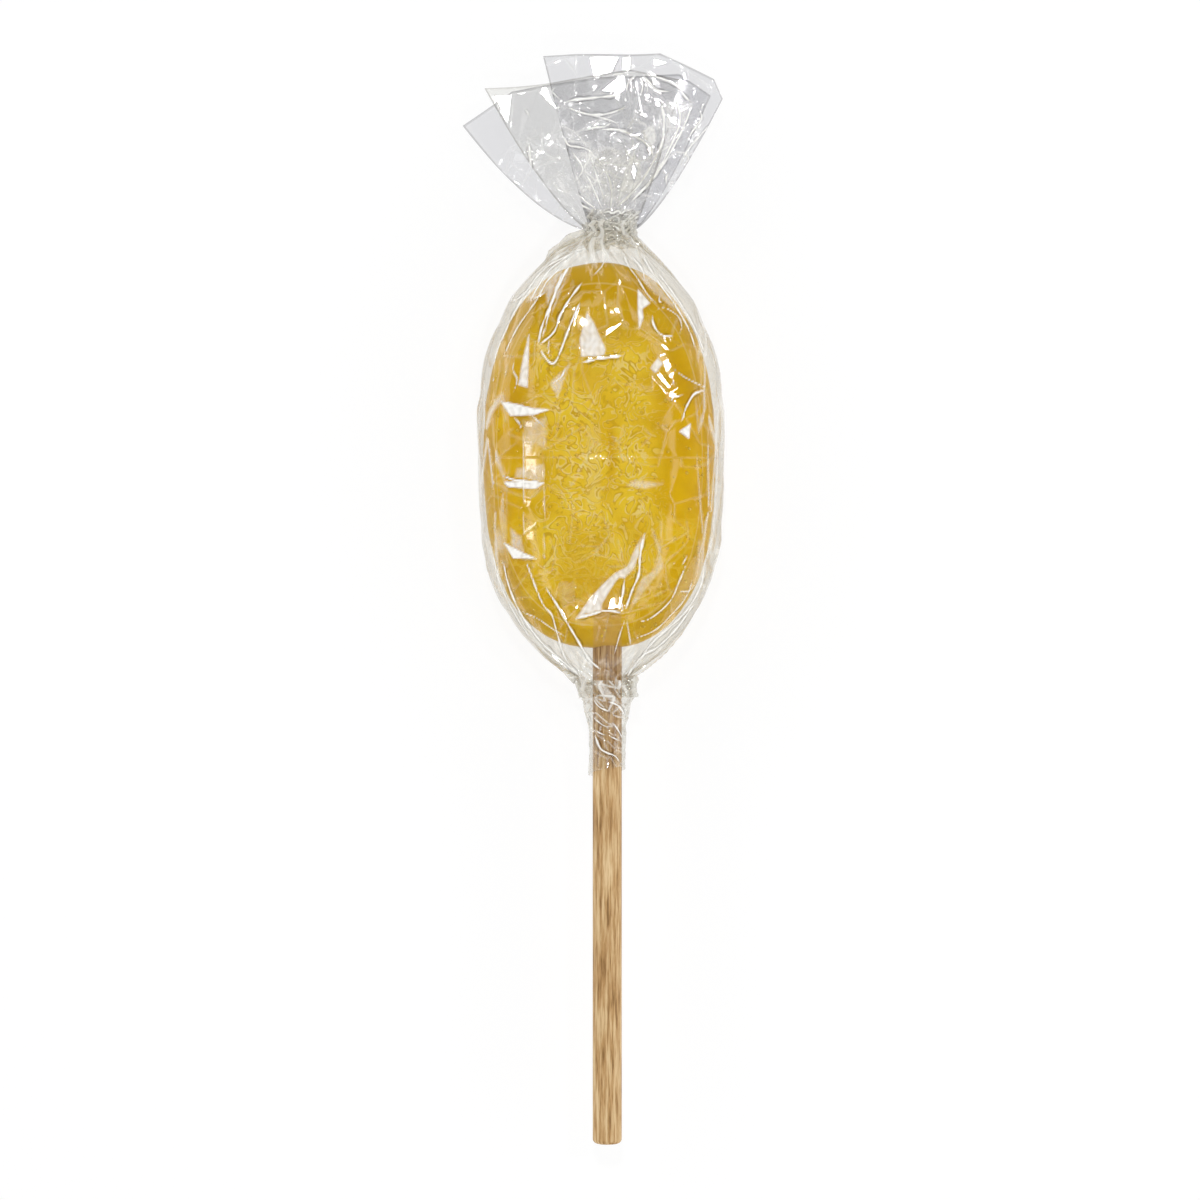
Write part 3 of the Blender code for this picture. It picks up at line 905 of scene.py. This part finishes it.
# %% Folds laid on the front of the bag
FRONT_CREASES = (
    # the finger-shaped fold at the upper left
    (1, (-4.4, 29.3), (-5.7, 27), (-7.4, 23), (-8.8, 19.5), (-9.4, 16.5)),
    (0.7, (-5.5, 28.2), (-6.8, 25), (-7.9, 21), (-8.8, 17.6)),
    (1, (-2.5, 26.5), (-4.5, 23.8), (-6, 21.2), (-7, 18.6), (-9.3, 16.6)),
    (0.9, (-9.4, 16.4), (-8.6, 15.2), (-7.5, 13.9), (-6.7, 14.1), (-5.9, 15.8), (-4.5, 19.6), (-2.9, 23.4)),
    (0.4, (-7.6, 18.2), (-7.8, 15.6), (-7.3, 14.1)),
    # the upper left shoulder
    (0.6, (-1.8, 32), (-5, 30.6), (-8.4, 28.6), (-11, 25.4), (-13.2, 21.6), (-15.4, 16.8)),
    (0.7, (-4.2, 31), (-7.4, 28.6), (-9.4, 25.8), (-10.8, 23.2)),
    (0.5, (-5.4, 29.2), (-8, 26.6), (-9.8, 23.4), (-12.6, 19.4), (-14.8, 15)),
    (0.7, (-8, 24.9), (-9.4, 24.2), (-10.9, 23.3)),
    (0.5, (-12.4, 26), (-13.6, 23.8), (-12, 24.4), (-9.6, 27)),
    # the upper right shoulder
    (0.6, (6.5, 31), (7.5, 29), (9.2, 26.2), (11.4, 23.2), (13.6, 19.4), (14.8, 16)),
    (0.5, (3.6, 31.2), (4.4, 29), (5.8, 27), (7.4, 24.4), (9, 22.8)),
    (0.7, (4.6, 30.8), (6.4, 28.6), (7, 26.4)),
    (0.6, (8.6, 28.4), (11, 25.2), (14, 20.6), (16.2, 15.6)),
    (0.6, (9.4, 24.8), (9.2, 23.4), (10.6, 23.2)),
    (0.4, (1.2, 30.6), (0.2, 28.6), (-1.3, 27)),
    # the blister at the upper right
    (0.9, (8.1, 21.5), (8.2, 20), (9, 18.6), (10.2, 18), (11.6, 18.2)),
    (0.4, (8.4, 22), (10, 22.4), (12, 21.2), (12.6, 19.6), (12.2, 18.4)),
    # the bar under the star
    (1.2, (-2.9, 13.9), (0, 14.5), (1.8, 14.7), (3.8, 15)),
    # the right side
    (0.4, (10.8, 13.4), (13, 11.8), (15.5, 10.6), (17, 10.3)),
    (0.9, (16.4, 9.9), (14.5, 9.2), (13.2, 7), (12.8, 5.6), (12.4, 4.8)),
    (1, (9.9, 8.3), (10.9, 8.2), (11.3, 8.6), (13, 9.1)),
    (1, (10, 10.4), (11.3, 10.9), (11.3, 11.7)),
    (1, (13.5, -15.3), (12.6, -17.2)),
    (1, (10.8, -16.5), (12, -17)),
    # the left side
    (0.2, (-11.6, 4), (-11.6, -14)),
    (0.2, (-8.4, 4), (-8.4, -18)),
    (0.6, (-13.4, 5.9), (-12.2, 4.6), (-11.8, 3)),
    (0.7, (-10.6, 6), (-9.4, 5), (-8.2, 3.8)),
    (0.7, (-5.2, 13.3), (-5.8, 11.8), (-7.4, 10.6)),
    (0.8, (-7.4, 10), (-6.6, 8.9)),
    (0.5, (-13, 14.6), (-13.2, 12.8), (-12.6, 11.4), (-13.2, 9.3)),
    (0.7, (-15.4, -3), (-13.2, -3.9), (-10.6, -4.2), (-8.4, -4.4)),
    # the fold like a letter A at the foot
    (1.1, (-3.7, -25.2), (-1.4, -24.6), (0.6, -24), (2, -24), (3.7, -24.4)),
    (1, (6.9, -12.2), (6.2, -15.6), (6, -18.4), (5, -20.8), (3.9, -24)),
    (0.8, (3.8, -18.8), (3.6, -21), (3.4, -22.8), (3.7, -24.4)),
    # creases that run down to the gathered film
    (0.9, (-8.4, -20.2), (-6.6, -22.9), (-5.2, -25.4), (-3.4, -28.4), (-1.6, -31.4), (0.4, -33.2)),
    (0.6, (-11.4, -16), (-8.9, -22.5), (-7.3, -24.6), (-6.6, -27), (-5.2, -31.4), (-2.7, -34.2)),
    (0.8, (-14.8, -16.5), (-13.8, -20.5), (-12.2, -24.2), (-10, -27.5), (-7.8, -29.9), (-2.6, -34.4)),
    (0.4, (-12.4, -24), (-9.8, -25), (-7.4, -26.6), (-4.8, -28.2)),
    (0.5, (-16.4, -15), (-15.4, -19.5), (-13, -24.5), (-10.5, -28.4)),
    (0.4, (4, -25), (3, -28), (2.2, -31)),
    (0.4, (4.1, -25), (4.6, -28), (4.9, -30)),
    (0.7, (14.8, -22.5), (12, -26.5), (9, -29.5), (6.5, -31), (4, -34.5)),
    (0.5, (13.4, -16.5), (12.2, -19.5), (10.8, -22.5), (8, -25), (5.6, -25.8)),
    (0.4, (14.4, -19), (13.2, -22), (11, -24.6), (8.4, -27), (5, -28.4)),
    (0.6, (16.2, -17), (15.4, -20.5), (13, -24.4), (8, -29), (6, -32.2)),
    (0.4, (11.6, -20.8), (13.6, -21), (15, -19.6)),
)
# Patches of painted haze on the front: highlights painted white on the film
FRONT_PAINTED_HAZE = (
    (0.3, (-4.6, 28.8), (-9.4, 27.4), (-11.2, 23.4), (-8.2, 24.8), (-7.6, 21), (-6, 24.6)),
    (0.2, (5.4, 28.2), (8.2, 27.4), (12, 23.8), (14, 20.2), (11.8, 22), (8.6, 24.6), (6.6, 26.6)),
    (0.25, (-7.6, 10.8), (-4.6, 13.6), (-6.4, 8.6)),
    (0.15, (-11.6, 4.6), (-8.2, 5.6), (-8.2, 0.4), (-9.8, 1.6), (-11.4, -0.6)),
    # painted highlights: the white bars at the left, and small patches at the right
    (0.95, (-15.1, 8.1), (-13, 7.7), (-10, 6.9), (-7.6, 6.8), (-10, 6), (-13.6, 5.9)),
    (0.95, (-14.6, -4.3), (-12, -4.1), (-8.4, -4.4), (-9.7, -5.3), (-13.9, -5)),
    (0.95, (-14.6, -13.6), (-13.3, -14.3), (-11.5, -15.2), (-9.6, -16), (-13.2, -15.9)),
    (0.7, (-10.8, 18.3), (-11.8, 14), (-12.4, 10.6), (-11, 10.2)),
    (0.9, (12.2, 3.5), (13.9, 4.6), (13.7, 2.4)),
    (0.6, (-1.9, 21.5), (-3, 17.5), (-2.7, 14.9), (0.6, 14.9), (0.9, 16), (-0.4, 18.8), (-0.9, 20)),
    (0.6, (7.8, 13.1), (8.9, 14.6), (9.7, 13.8), (8.6, 12.4)),
    (0.7, (5.9, 25.2), (7.7, 23.1), (6.5, 22.2), (6.7, 20.8), (6.1, 19.2), (5.9, 21.5)),
    (0.2, (-12.6, -2.2), (-8.6, -1.6), (-8.6, -4.2), (-13, -3.8)),
    (0.25, (-13.6, -11.4), (-12, -12.8), (-11.6, -15), (-13.4, -14.2)),
    (0.2, (4.2, -4.8), (5.6, -4), (9.6, -4.6), (7, -5.3)),
    # painted highlights on the two wings of the A, and on the film that hangs beside it
    (0.6, (-3.6, -25.2), (0.2, -23.9), (0.4, -22.8), (2.2, -19.8), (3, -18.8), (3.8, -18.9), (4.3, -17.3),
     (2.4, -18.2), (0.5, -20), (-1.5, -22.2)),
    (0.45, (6.9, -12.2), (6.2, -15.5), (5, -17.8), (3.8, -18.9), (4.3, -17.3), (5.4, -14.6)),
    (0.2, (8, -11.5), (9.4, -14.5), (8.6, -17.6), (6.2, -19.3), (4.6, -24), (7.5, -20), (9.8, -17.2)),
)
FRONT_FLAPS = (
    ("softbox_right", (8.1, 12.1), (9.4, 12.9), (10.8, 11), (11.7, 10.3), (10.4, 9.6)),
)

# %% Build the bag


def bag_half(side, rows, columns):
    """The points and painted light and shade of the bag's front half, side 1, or its back half, side -1."""
    rng = np.random.default_rng(11 if side > 0 else 23)
    grid = np.stack([half_ring(y, columns, side) for y in bag_rows(rows)])
    if side > 0:
        grid = grid[:, ::-1]
    normals = normals_of(grid)
    beside = smoothstep(13.5, 17.0, np.abs(grid[..., 0] - BELLY_X))
    outward = facet(grid, normals, rng, count=62)
    gentle, gentle_lines = crumple(grid, rng, spacing=6, slope=0.04, ridge=0.03, half_width=0.25)
    stretched = grid * (1, 0.14, 1)
    long, long_lines = crumple(stretched, rng, spacing=2.4, slope=0.22, ridge=0.08, half_width=0.2)
    ends = pleats(grid, rng, count=26, end_y=NECK_Y, reach=8, height=1.1)
    ends += pleats(grid, rng, count=22, end_y=TIE_Y, reach=7, height=1)
    outward += gentle + long * beside + ends
    # Painted highlights along the crumple ridges and the pleats
    painted_light_and_shade = 0.06 * gentle_lines + 0.4 * long_lines * beside + 0.35 * smoothstep(0.45, 1.0, ends)
    at_side = smoothstep(0.0, 1.2, np.abs(grid[..., 2] - MIDDLE_Z))
    grid = grid + normals * (outward * at_side)[..., None]
    if side > 0:
        lay_creases(grid, painted_light_and_shade, FRONT_CREASES)
        lay_painted_haze(grid, painted_light_and_shade, FRONT_PAINTED_HAZE)
        lay_flaps(grid, painted_light_and_shade, FRONT_FLAPS)
    grid[..., 2] = np.maximum(grid[..., 2], FLOOR_GAP)
    return grid, painted_light_and_shade


grid, painted_light_and_shade = bag_half(1, rows=400, columns=230)
bag = halved_sheet(("film_front_foot", "film_front_top"), grid, BAG_FILM, painted_light_and_shade)
grid, painted_light_and_shade = bag_half(-1, rows=160, columns=120)
bag.append(sheet("film_back", grid, BAG_FILM, painted_light_and_shade))

# %% [markdown]
# ## The fan
# Above the twist the film opens again into a fan. It is a flattened tube, so its cut edges show as
# straight lines between the fold corners, one layer behind another. Each layer is flat near its cut edge,
# crumpled in the middle and pleated at its root. Its edges curl down a little and are painted darker, as
# thin lines of painted shade.

# %% Measure the fan
FAN_ROOT_Y = 34.9
FAN_ROOT_HALF_WIDTH = 3.3
FAN_PLEAT_WIDTH = 2.3
FAN_PANELS = {
    "front": dict(
        corners=((-10.6, 26.6), (7.5, 27.4), (15.8, 23.4), (17.2, 20.5)), heights=(2.6, 0.2),
        bows=(1.1, 1.35), film=FAN_FILM, roughness=1.0, rows=241, columns=330,
    ),
    "second": dict(
        corners=((-19.7, 22), (-10.5, 22.8), (3, 25), (11, 23.5)), heights=(0.2, 0.1),
        bows=(1.35, 1.2), film=BAG_FILM, roughness=0.45, rows=140, columns=210,
    ),
    "back": dict(
        corners=((-23.2, 16.6), (-15.5, 21.8), (-2, 24.2), (10.5, 24.6), (15.4, 21.2)), heights=(-1.6, -1.9),
        bows=(1.55, 1.3), film=FAN_FILM, roughness=0.45, rows=140, columns=230,
    ),
}
FAN_CREASES = (
    # across the bowl
    (1.2, (-5.7, 54.3), (-4.2, 54.8), (-1, 55.2), (1.5, 55.6), (3.9, 56)),
    (0.9, (-5.2, 54), (-3.5, 53.1), (-1, 52.6), (1.2, 52.9), (3, 53.6), (4.6, 54.3)),
    (0.6, (-1.5, 52.5), (0.8, 52.1), (2.4, 51.6), (3.3, 50.6)),
    (0.7, (-2.8, 50), (-1, 50.6), (0.8, 50.9), (2.3, 51.9)),
    (1.2, (-0.2, 50.4), (2.8, 50.5), (5, 49.9), (7, 48.7), (8, 47.4), (8.4, 46)),
    (0.5, (-8, 53.8), (-6.8, 53.6), (-5.2, 54.2)),
    (0.5, (-6.4, 57.2), (-7.3, 56.2), (-6.8, 55.6), (-5.6, 54.4)),
    (0.5, (3.6, 48.3), (4.2, 47.2), (5.2, 46.3), (6.1, 46.8)),
    # loops at the left
    (0.9, (-6.6, 48.9), (-5.8, 49.3), (-4.8, 48), (-3.3, 47.7), (-2, 47.4), (-0.8, 46.7)),
    (0.8, (-5.7, 49), (-5.2, 46.5), (-4.6, 44.6), (-3.9, 43.2)),
    (0.6, (-4, 47.8), (-4.2, 47), (-3.4, 45.9), (-2.8, 45), (-2.7, 44), (-3.8, 42.4)),
    (0.5, (-3.4, 45.9), (-3.8, 43.7)),
    (0.9, (-7.6, 46.9), (-6.6, 45.6), (-6.2, 44), (-6.4, 42.4)),
    (0.8, (-7.7, 46.6), (-7.6, 44.8), (-7, 43)),
    # pleats that rise from the twist
    (0.7, (-2.6, 44.2), (-1.5, 42.6), (-0.5, 40.4), (0.2, 38.8), (1, 38)),
    (0.6, (-1.5, 47.2), (-0.8, 44.5), (0, 42), (0.6, 40.2), (1, 39.3)),
    (0.6, (-0.8, 46.6), (0.2, 45.3), (1.5, 44.4)),
    (0.8, (0, 43.2), (0.8, 44.2), (1.5, 43), (1.8, 41.5), (1.9, 39.9), (1.6, 38)),
    # the right rim of the bowl
    (0.9, (9.2, 54.6), (9.9, 53), (9.9, 50), (9.3, 47.5), (6.5, 42.5), (4.2, 40), (2.4, 38.4)),
    (0.9, (11.5, 55.4), (12.3, 53.5), (12.3, 51), (10.3, 46.5), (8.8, 44), (6.8, 41.4), (4.6, 39)),
    (0.8, (14.4, 54.5), (13.4, 51.8), (12.2, 49.2), (10.4, 46), (8.2, 42.8), (5.6, 40)),
    # the right margin
    (0.5, (16.6, 55.3), (15.8, 53.8), (16, 52.8)),
    (0.6, (17.6, 51.8), (15.6, 49.6), (13.6, 47.2), (12.4, 44.6)),
    (0.6, (14.8, 54.2), (15.8, 52.4), (14.4, 50.2), (13, 48.2)),
    (0.7, (12.6, 47.3), (13.8, 46), (12.6, 44.8)),
    (0.7, (11, 44.2), (10.3, 43), (10.7, 41.3)),
    # the star at the top right
    (0.9, (6.3, 59.3), (7.6, 57.9), (9, 56.6), (11.4, 56.3)),
    (0.9, (6.6, 59.2), (9.6, 58.4), (12, 57.2), (13.2, 55.6), (14.4, 54.4)),
    (0.8, (6.3, 59), (6.7, 57.5), (6.3, 55.4)),
    (0.7, (6.6, 58.8), (7.4, 57.2), (7.2, 55.4)),
    (0.7, (5.9, 59.2), (4.4, 57.6), (4.2, 55.6)),
    (0.5, (-1.5, 58.1), (1, 58.7), (4, 59.2), (6.2, 59.5)),
    # the left rim
    (0.9, (-8.7, 60.6), (-8.6, 57), (-9, 54)),
    (0.9, (-9, 53), (-9.6, 49), (-10.1, 45.4), (-9.7, 43.6)),
    (0.8, (-8.6, 52.4), (-8.8, 49.6), (-9.4, 46.4), (-8.8, 44.2), (-7.2, 42), (-5, 40.1), (-0.8, 37.8)),
    (0.8, (-7, 51.4), (-7.8, 49.5), (-8.2, 47.4), (-8.4, 44.6), (-6.4, 41.2), (-4, 39.4), (-1.6, 38.2)),
    (0.7, (-6.9, 50.8), (-6.6, 47.6), (-5.6, 44.4), (-4.2, 41.6), (-2.6, 39.8), (0, 37.8)),
    (0.5, (-6, 41), (-4.9, 41.9), (-4.4, 41)),
)
SECOND_CREASES = (
    (0.8, (-15.6, 50.2), (-13.8, 47.8), (-12.4, 45.6)),
    (0.6, (-11.8, 54.4), (-10.6, 52.2)),
    (0.8, (-10.9, 49.2), (-10.8, 46.6), (-10.4, 43.4), (-9.8, 44.2)),
    (0.5, (-16.2, 55.4), (-15.2, 52.8)),
    (0.4, (-17.4, 52), (-15.6, 47.6), (-13.6, 43.6), (-9.8, 40.6), (-5, 38)),
)
FAN_PAINTED_HAZE = (
    (0.24, (-4, 46.5), (1, 48), (6.4, 46.6), (6, 41.4), (2, 38.2), (-1.6, 40.6)),
    (0.26, (-9.6, 52), (-7, 52), (-4.6, 45.6), (-0.6, 38.6), (-5, 40), (-9.2, 44)),
    (0.24, (9.4, 54.6), (14.6, 54.8), (12.4, 49), (8, 42.4), (3, 38.2), (6.6, 43.6), (9.4, 48)),
    (0.25, (-1.4, 55.4), (3.8, 56.4), (3.4, 58.6), (1.8, 58)),
    (0.45, (6.6, 50.4), (8.3, 51.2), (8.8, 49.5), (8.2, 47.5), (7, 49)),
    (0.3, (4.6, 47), (6.4, 45.4), (6.4, 42.6), (4.6, 40.4), (3.2, 41.2), (4.4, 44)),
    (0.2, (-3.6, 49.6), (-5.6, 50.6), (-5.4, 49), (-4, 48.2)),
    (0.35, (-9.7, 46.6), (-8.3, 46.4), (-8.1, 44.2), (-8.9, 44)),
)
FAN_FLAPS = (
    ("softbox_top", (-1.7, 61.6), (3.2, 61.7), (2, 58.9), (-1, 58.2)),
    ("softbox_top", (3.5, 61.8), (4.9, 61.8), (4.8, 59.5), (3.3, 59.6)),
    ("softbox_top", (8.3, 61.8), (10.5, 61.2), (11.4, 60.9), (9, 60.2), (8.2, 60.4)),
    ("softbox_top", (-0.2, 56.2), (2.5, 58.5), (4, 58.9), (4.2, 57), (3.9, 56.2)),
    ("softbox_right", (12.6, 59.4), (13.4, 59.6), (13.6, 58.4), (13.2, 57.2)),
    ("softbox_right", (14.2, 56.4), (15.2, 57.2), (14.6, 54.6)),
    ("softbox_right", (5.3, 46), (5.9, 44.4), (5.4, 42.4), (4.8, 44)),
)

# %% Build the fan


def fan_panel(name, seed, corners, heights, bows, film, roughness, rows, columns):
    """One layer of the fan. Its heights and bows are those at its left and its right edge."""
    rng = np.random.default_rng(seed)
    corners = np.array(corners)
    lengths = np.hypot(*np.diff(corners, axis=0).T)
    gone = np.concatenate([[0], np.cumsum(lengths)])
    at = np.linspace(0, gone[-1], columns)
    edge = np.stack([np.interp(at, gone, corners[:, i]) for i in (0, 1)], axis=1)
    across = at / gone[-1]
    along = np.linspace(0, 1, rows)[:, None]
    x = NECK_X + FAN_ROOT_HALF_WIDTH * (2 * across - 1) * (1 - along) + edge[:, 0] * along
    y = FAN_ROOT_Y + edge[:, 1] * along ** blend(*bows, across)
    z = MIDDLE_Z + blend(*heights, across) * along
    grid = np.stack([x, y, z], axis=-1)

    pleat_phase = at / FAN_PLEAT_WIDTH + rng.uniform(0, 1)
    for _ in range(4):
        pleat_phase = pleat_phase + rng.uniform(0.2, 0.5) * np.sin(at / rng.uniform(3, 8) + rng.uniform(0, 6))
    pleat = np.abs((pleat_phase % 2) - 1) - 0.5
    fold = 1.2 * pleat * along * (1 - smoothstep(0.3, 0.75, along))
    wave = 0.5 * np.sin(2 * np.pi * across * 1.5 + rng.uniform(0, 6)) * along
    middle = smoothstep(0.08, 0.3, along) * (1 - smoothstep(0.66, 0.86, along))
    flat = grid[..., :2]
    rough, rough_lines = crumple(flat, rng, spacing=5, slope=0.4, ridge=0.1, half_width=0.3)
    fine, fine_lines = crumple(flat, rng, spacing=2.6, slope=0.15, ridge=0.05, half_width=0.2)
    broad, broad_lines = crumple(flat, rng, spacing=9, slope=0.12, ridge=0.05, half_width=0.25)
    grid[..., 2] += fold + wave + roughness * middle * (rough + fine) + broad * smoothstep(0.0, 0.4, along)
    # Painted highlights along the crumple ridges
    painted_light_and_shade = roughness * middle * (0.3 * rough_lines + 0.15 * fine_lines) + 0.08 * broad_lines
    if name == "front":
        lay_creases(grid, painted_light_and_shade, FAN_CREASES)
        lay_painted_haze(grid, painted_light_and_shade, FAN_PAINTED_HAZE)
        lay_flaps(grid, painted_light_and_shade, FAN_FLAPS, sunk=0.6)
    elif name == "second":
        lay_creases(grid, painted_light_and_shade, SECOND_CREASES)
    lip = np.minimum(across, 1 - across)[None, :] * gone[-1] * along
    lip = np.minimum(lip, (1 - along) * np.hypot(edge[:, 0], edge[:, 1]))
    grid[..., 2] -= 0.2 * (1 - smoothstep(0.0, 0.3, lip))
    # Painted shade along the cut edges
    painted_light_and_shade -= 0.25 * (1 - smoothstep(0.1, 0.3, lip))
    if name != "front":
        return [sheet(f"fan_{name}", grid, film, painted_light_and_shade)]
    return halved_sheet(("fan_front_root", "fan_front_mouth"), grid, film, painted_light_and_shade)


fan = []
for seed, (name, panel) in enumerate(FAN_PANELS.items(), start=40):
    fan += fan_panel(name, seed, **panel)

# %% [markdown]
# ## The upper twist
# Between the bag and the fan the film is wrung into a tight rope of pleats, and a band of it is wound
# aslant over the rope.

# %% Build the twist
TWIST_CREASES = (
    (2, (0.3, 35.9), (1.3, 34.9)),
    (1.4, (1.8, 35.8), (3, 34.8), (4.2, 34.4)),
    (1.2, (3.1, 35.4), (4.6, 36.1)),
    (1.8, (-0.4, 34), (0.9, 34.6)),
    (1.2, (1.5, 33), (1.6, 33.9), (2.5, 33.7), (2.2, 33)),
    (1, (-1.6, 33), (-0.2, 33.6)),
    (1, (0.9, 32.3), (1.8, 33.3)),
    (1, (4.4, 36.9), (4.6, 36.3)),
    (1, (0.2, 37.2), (1.4, 37.6), (2, 37.3), (2.9, 37.7), (3.4, 37.3), (4.3, 38.2)),
    (0.6, (-1, 36.6), (0.4, 35.6), (0.6, 34)),
    (0.6, (5, 35.6), (3.6, 34.2), (2.8, 32.6)),
)


def ring(columns):
    """A row of angles, evenly spaced round a tube."""
    return np.linspace(0, 2 * np.pi, columns, endpoint=False)[None, :]


def unrolled(around, y):
    """A tube's surface laid flat for a crumple, from the way round it and the way along it."""
    return np.stack(np.broadcast_arrays(around, y), axis=-1)


def film_tube(y, out, centre_x, squash=1.0):
    """A closed tube of film, from its y and its distance from the axis at each row and angle."""
    angle = ring(out.shape[1])
    x = centre_x + out * np.cos(angle)
    z = MIDDLE_Z + squash * out * np.sin(angle)
    return np.stack([x, np.broadcast_to(y, x.shape), z], axis=-1)


def wrung_rope():
    """Strands of film that wind round one another."""
    rng = np.random.default_rng(7)
    rows, columns, strands, wind = 110, 280, 11, 0.6
    y = np.linspace(32.4, 38.0, rows)[:, None]
    angle = ring(columns)
    ripple = np.zeros((rows, columns))
    for i in range(strands):
        here = 2 * np.pi * (i + rng.uniform(-0.3, 0.3)) / strands
        away = angle_between(angle + wind * (y - NECK_Y), here)
        ripple += rng.uniform(0.5, 1.1) * np.clip(1 - 0.27 * strands * away, 0, 1)
    flat = unrolled(angle * 3.0, y)
    lumps, lines = crumple(flat, rng, spacing=1.7, slope=0.5, ridge=0.1, half_width=0.25)
    out = 2.8 + 0.15 * (y - NECK_Y) ** 2 + 0.9 * (ripple - 0.4) + lumps
    # Painted highlights along the crumple ridges and the strands
    painted_light_and_shade = (0.3 * lines + 0.3 * smoothstep(0.45, 0.8, ripple))[:, ::-1].copy()
    grid = film_tube(y, out, NECK_X, 0.8)[:, ::-1]
    lay_creases(grid, painted_light_and_shade, TWIST_CREASES)
    return sheet("film_twist", grid, GATHERED_FILM, painted_light_and_shade, closed=True)


def wound_band():
    """A slanting band of film round the rope."""
    rng = np.random.default_rng(19)
    rows, columns = 60, 260
    share = np.linspace(0, 1, rows)[:, None]
    angle = ring(columns)
    y = NECK_Y - 0.6 + 3.0 * (share - 0.5) + 1.3 * np.cos(angle - 0.5) + 0.3 * np.sin(3 * angle)
    flat = unrolled(angle * 3.6, y)
    lumps, lines = crumple(flat, rng, spacing=1.5, slope=0.55, ridge=0.1, half_width=0.25)
    out = 3.55 + 0.45 * np.sin(np.pi * share) + lumps
    grid = film_tube(y, out, NECK_X - 0.1, 0.8)[:, ::-1]
    # Painted highlights along the crumple ridges
    painted_light_and_shade = 0.4 * lines[:, ::-1]
    lay_creases(grid, painted_light_and_shade, TWIST_CREASES)
    return sheet("film_band", grid, GATHERED_FILM, painted_light_and_shade, closed=True)


twist = [wrung_rope(), wound_band()]

# %% [markdown]
# ## The collar
# Below the candy the film is gathered round the stick and wound down it, to a slanting cut edge.

# %% Build the collar
COLLAR_END_Y = -49.7
COLLAR_TOP_RADIUS = 3.9
COLLAR_RADIUS = 2.8
GATHERS = 9
COLLAR_CREASES = (
    (0.9, (-1.1, -37.4), (0, -38.8), (1.9, -39.7)),
    (0.7, (1, -37.8), (3, -38.7), (4.2, -40.8)),
    (0.8, (-1.1, -40.3), (0.5, -41.6), (1.8, -42)),
    (0.9, (-1, -42.2), (0.4, -43), (1.4, -43.2)),
    (0.7, (2, -41), (3.2, -43), (3.7, -44.2)),
    (0.8, (1.2, -43.1), (3.4, -44.2)),
    (0.8, (-0.9, -42.6), (0, -45), (1, -45.8), (2.4, -46.4), (3.3, -47.6)),
    (0.7, (0.5, -45.4), (1.4, -44.3)),
    (0.7, (0.8, -49.4), (1.7, -47.9)),
    (0.7, (-2, -39.6), (-1.2, -41.6)),
)


def collar():
    """The film gathered round the stick, with pleats that wind down it and fade."""
    rng = np.random.default_rng(5)
    rows, columns = 190, 220
    share = np.linspace(0, 1, rows)[:, None]
    angle = ring(columns)
    end = COLLAR_END_Y + 1.6 * (1 + np.cos(angle - 0.9)) / 2
    y = blend(TIE_Y + 1.5, end, share)
    gone = TIE_Y + 1.5 - y
    radius = blend(COLLAR_TOP_RADIUS, COLLAR_RADIUS, smoothstep(0.0, 8.0, gone))
    radius = radius - 0.5 * np.exp(-((gone / 0.8) ** 2))
    ripple = np.zeros(y.shape)
    for i in range(GATHERS):
        here = 2 * np.pi * (i + rng.uniform(-0.4, 0.4)) / GATHERS
        slant = rng.uniform(0.12, 0.24)
        away = 3.0 * angle_between(angle + slant * gone, here)
        width = rng.uniform(0.7, 1.4)
        ripple += rng.uniform(0.3, 0.6) * smoothstep(width, 0.0, away)
    ripple *= np.exp(-((gone / 6.0) ** 2)) + 0.15
    flat = unrolled(angle * 3.0 + 0.25 * gone, y)
    lumps, lines = crumple(flat, rng, spacing=1.8, slope=0.35, ridge=0.12, half_width=0.25)
    fade = 0.25 + np.exp(-((gone / 6.0) ** 2))
    # Painted highlights along the crumple ridges and the gathers
    painted_light_and_shade = 0.5 * lines * fade + 0.25 * smoothstep(0.2, 0.5, ripple)
    grid = film_tube(y, radius + ripple + lumps * fade, STICK_X)
    lay_creases(grid, painted_light_and_shade, COLLAR_CREASES)
    return sheet("film_collar", grid, GATHERED_FILM, painted_light_and_shade, closed=True)


film_collar = collar()

# %% [markdown]
# ## The stick
# The stick is a round rod whose ends are tumbled smooth, so it is a cylinder with two bevelled edges.

# %% Build the stick
stick_low, stick_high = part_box("stick")
STICK_RADIUS = (stick_high.z - stick_low.z) / 2
STICK_END_ROUNDING = 0.7 * MM


def turned_stick():
    bm = bmesh.new()
    bmesh.ops.create_cone(
        bm, cap_ends=True, segments=64, radius1=STICK_RADIUS, radius2=STICK_RADIUS,
        depth=stick_high.y - stick_low.y,
    )
    ends = [edge for edge in bm.edges if abs(edge.calc_face_angle(0)) > 1]
    bmesh.ops.bevel(bm, geom=ends, offset=STICK_END_ROUNDING, segments=6, profile=0.5, affect="EDGES")
    mesh = bpy.data.meshes.new("stick_birch")
    bm.to_mesh(mesh)
    bm.free()
    middle = (stick_low + stick_high) / 2
    mesh.transform(Matrix.Translation(middle) @ Matrix.Rotation(math.pi / 2, 4, "X"))
    mesh.shade_smooth()
    mesh.materials.append(BIRCH)
    return new_object("stick_birch", mesh)


stick = turned_stick()
print("the stick is", round((stick_high.y - stick_low.y) / MM, 1), "mm long")

# %% [markdown]
# ## Ride on the solids
# The lollipop is one body, so every piece rides on it.

# %% Tie the pieces to the solids
film = [*bag, film_collar, *twist, *fan]
for pieces, node, slot in (
    ([candy, bubbles], "candy", "boiled_sugar"),
    ([stick], "stick", "birch_wood"),
    (film, "wrapper", "clear_film"),
):
    for piece in pieces:
        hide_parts(node)
        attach(piece, "root")
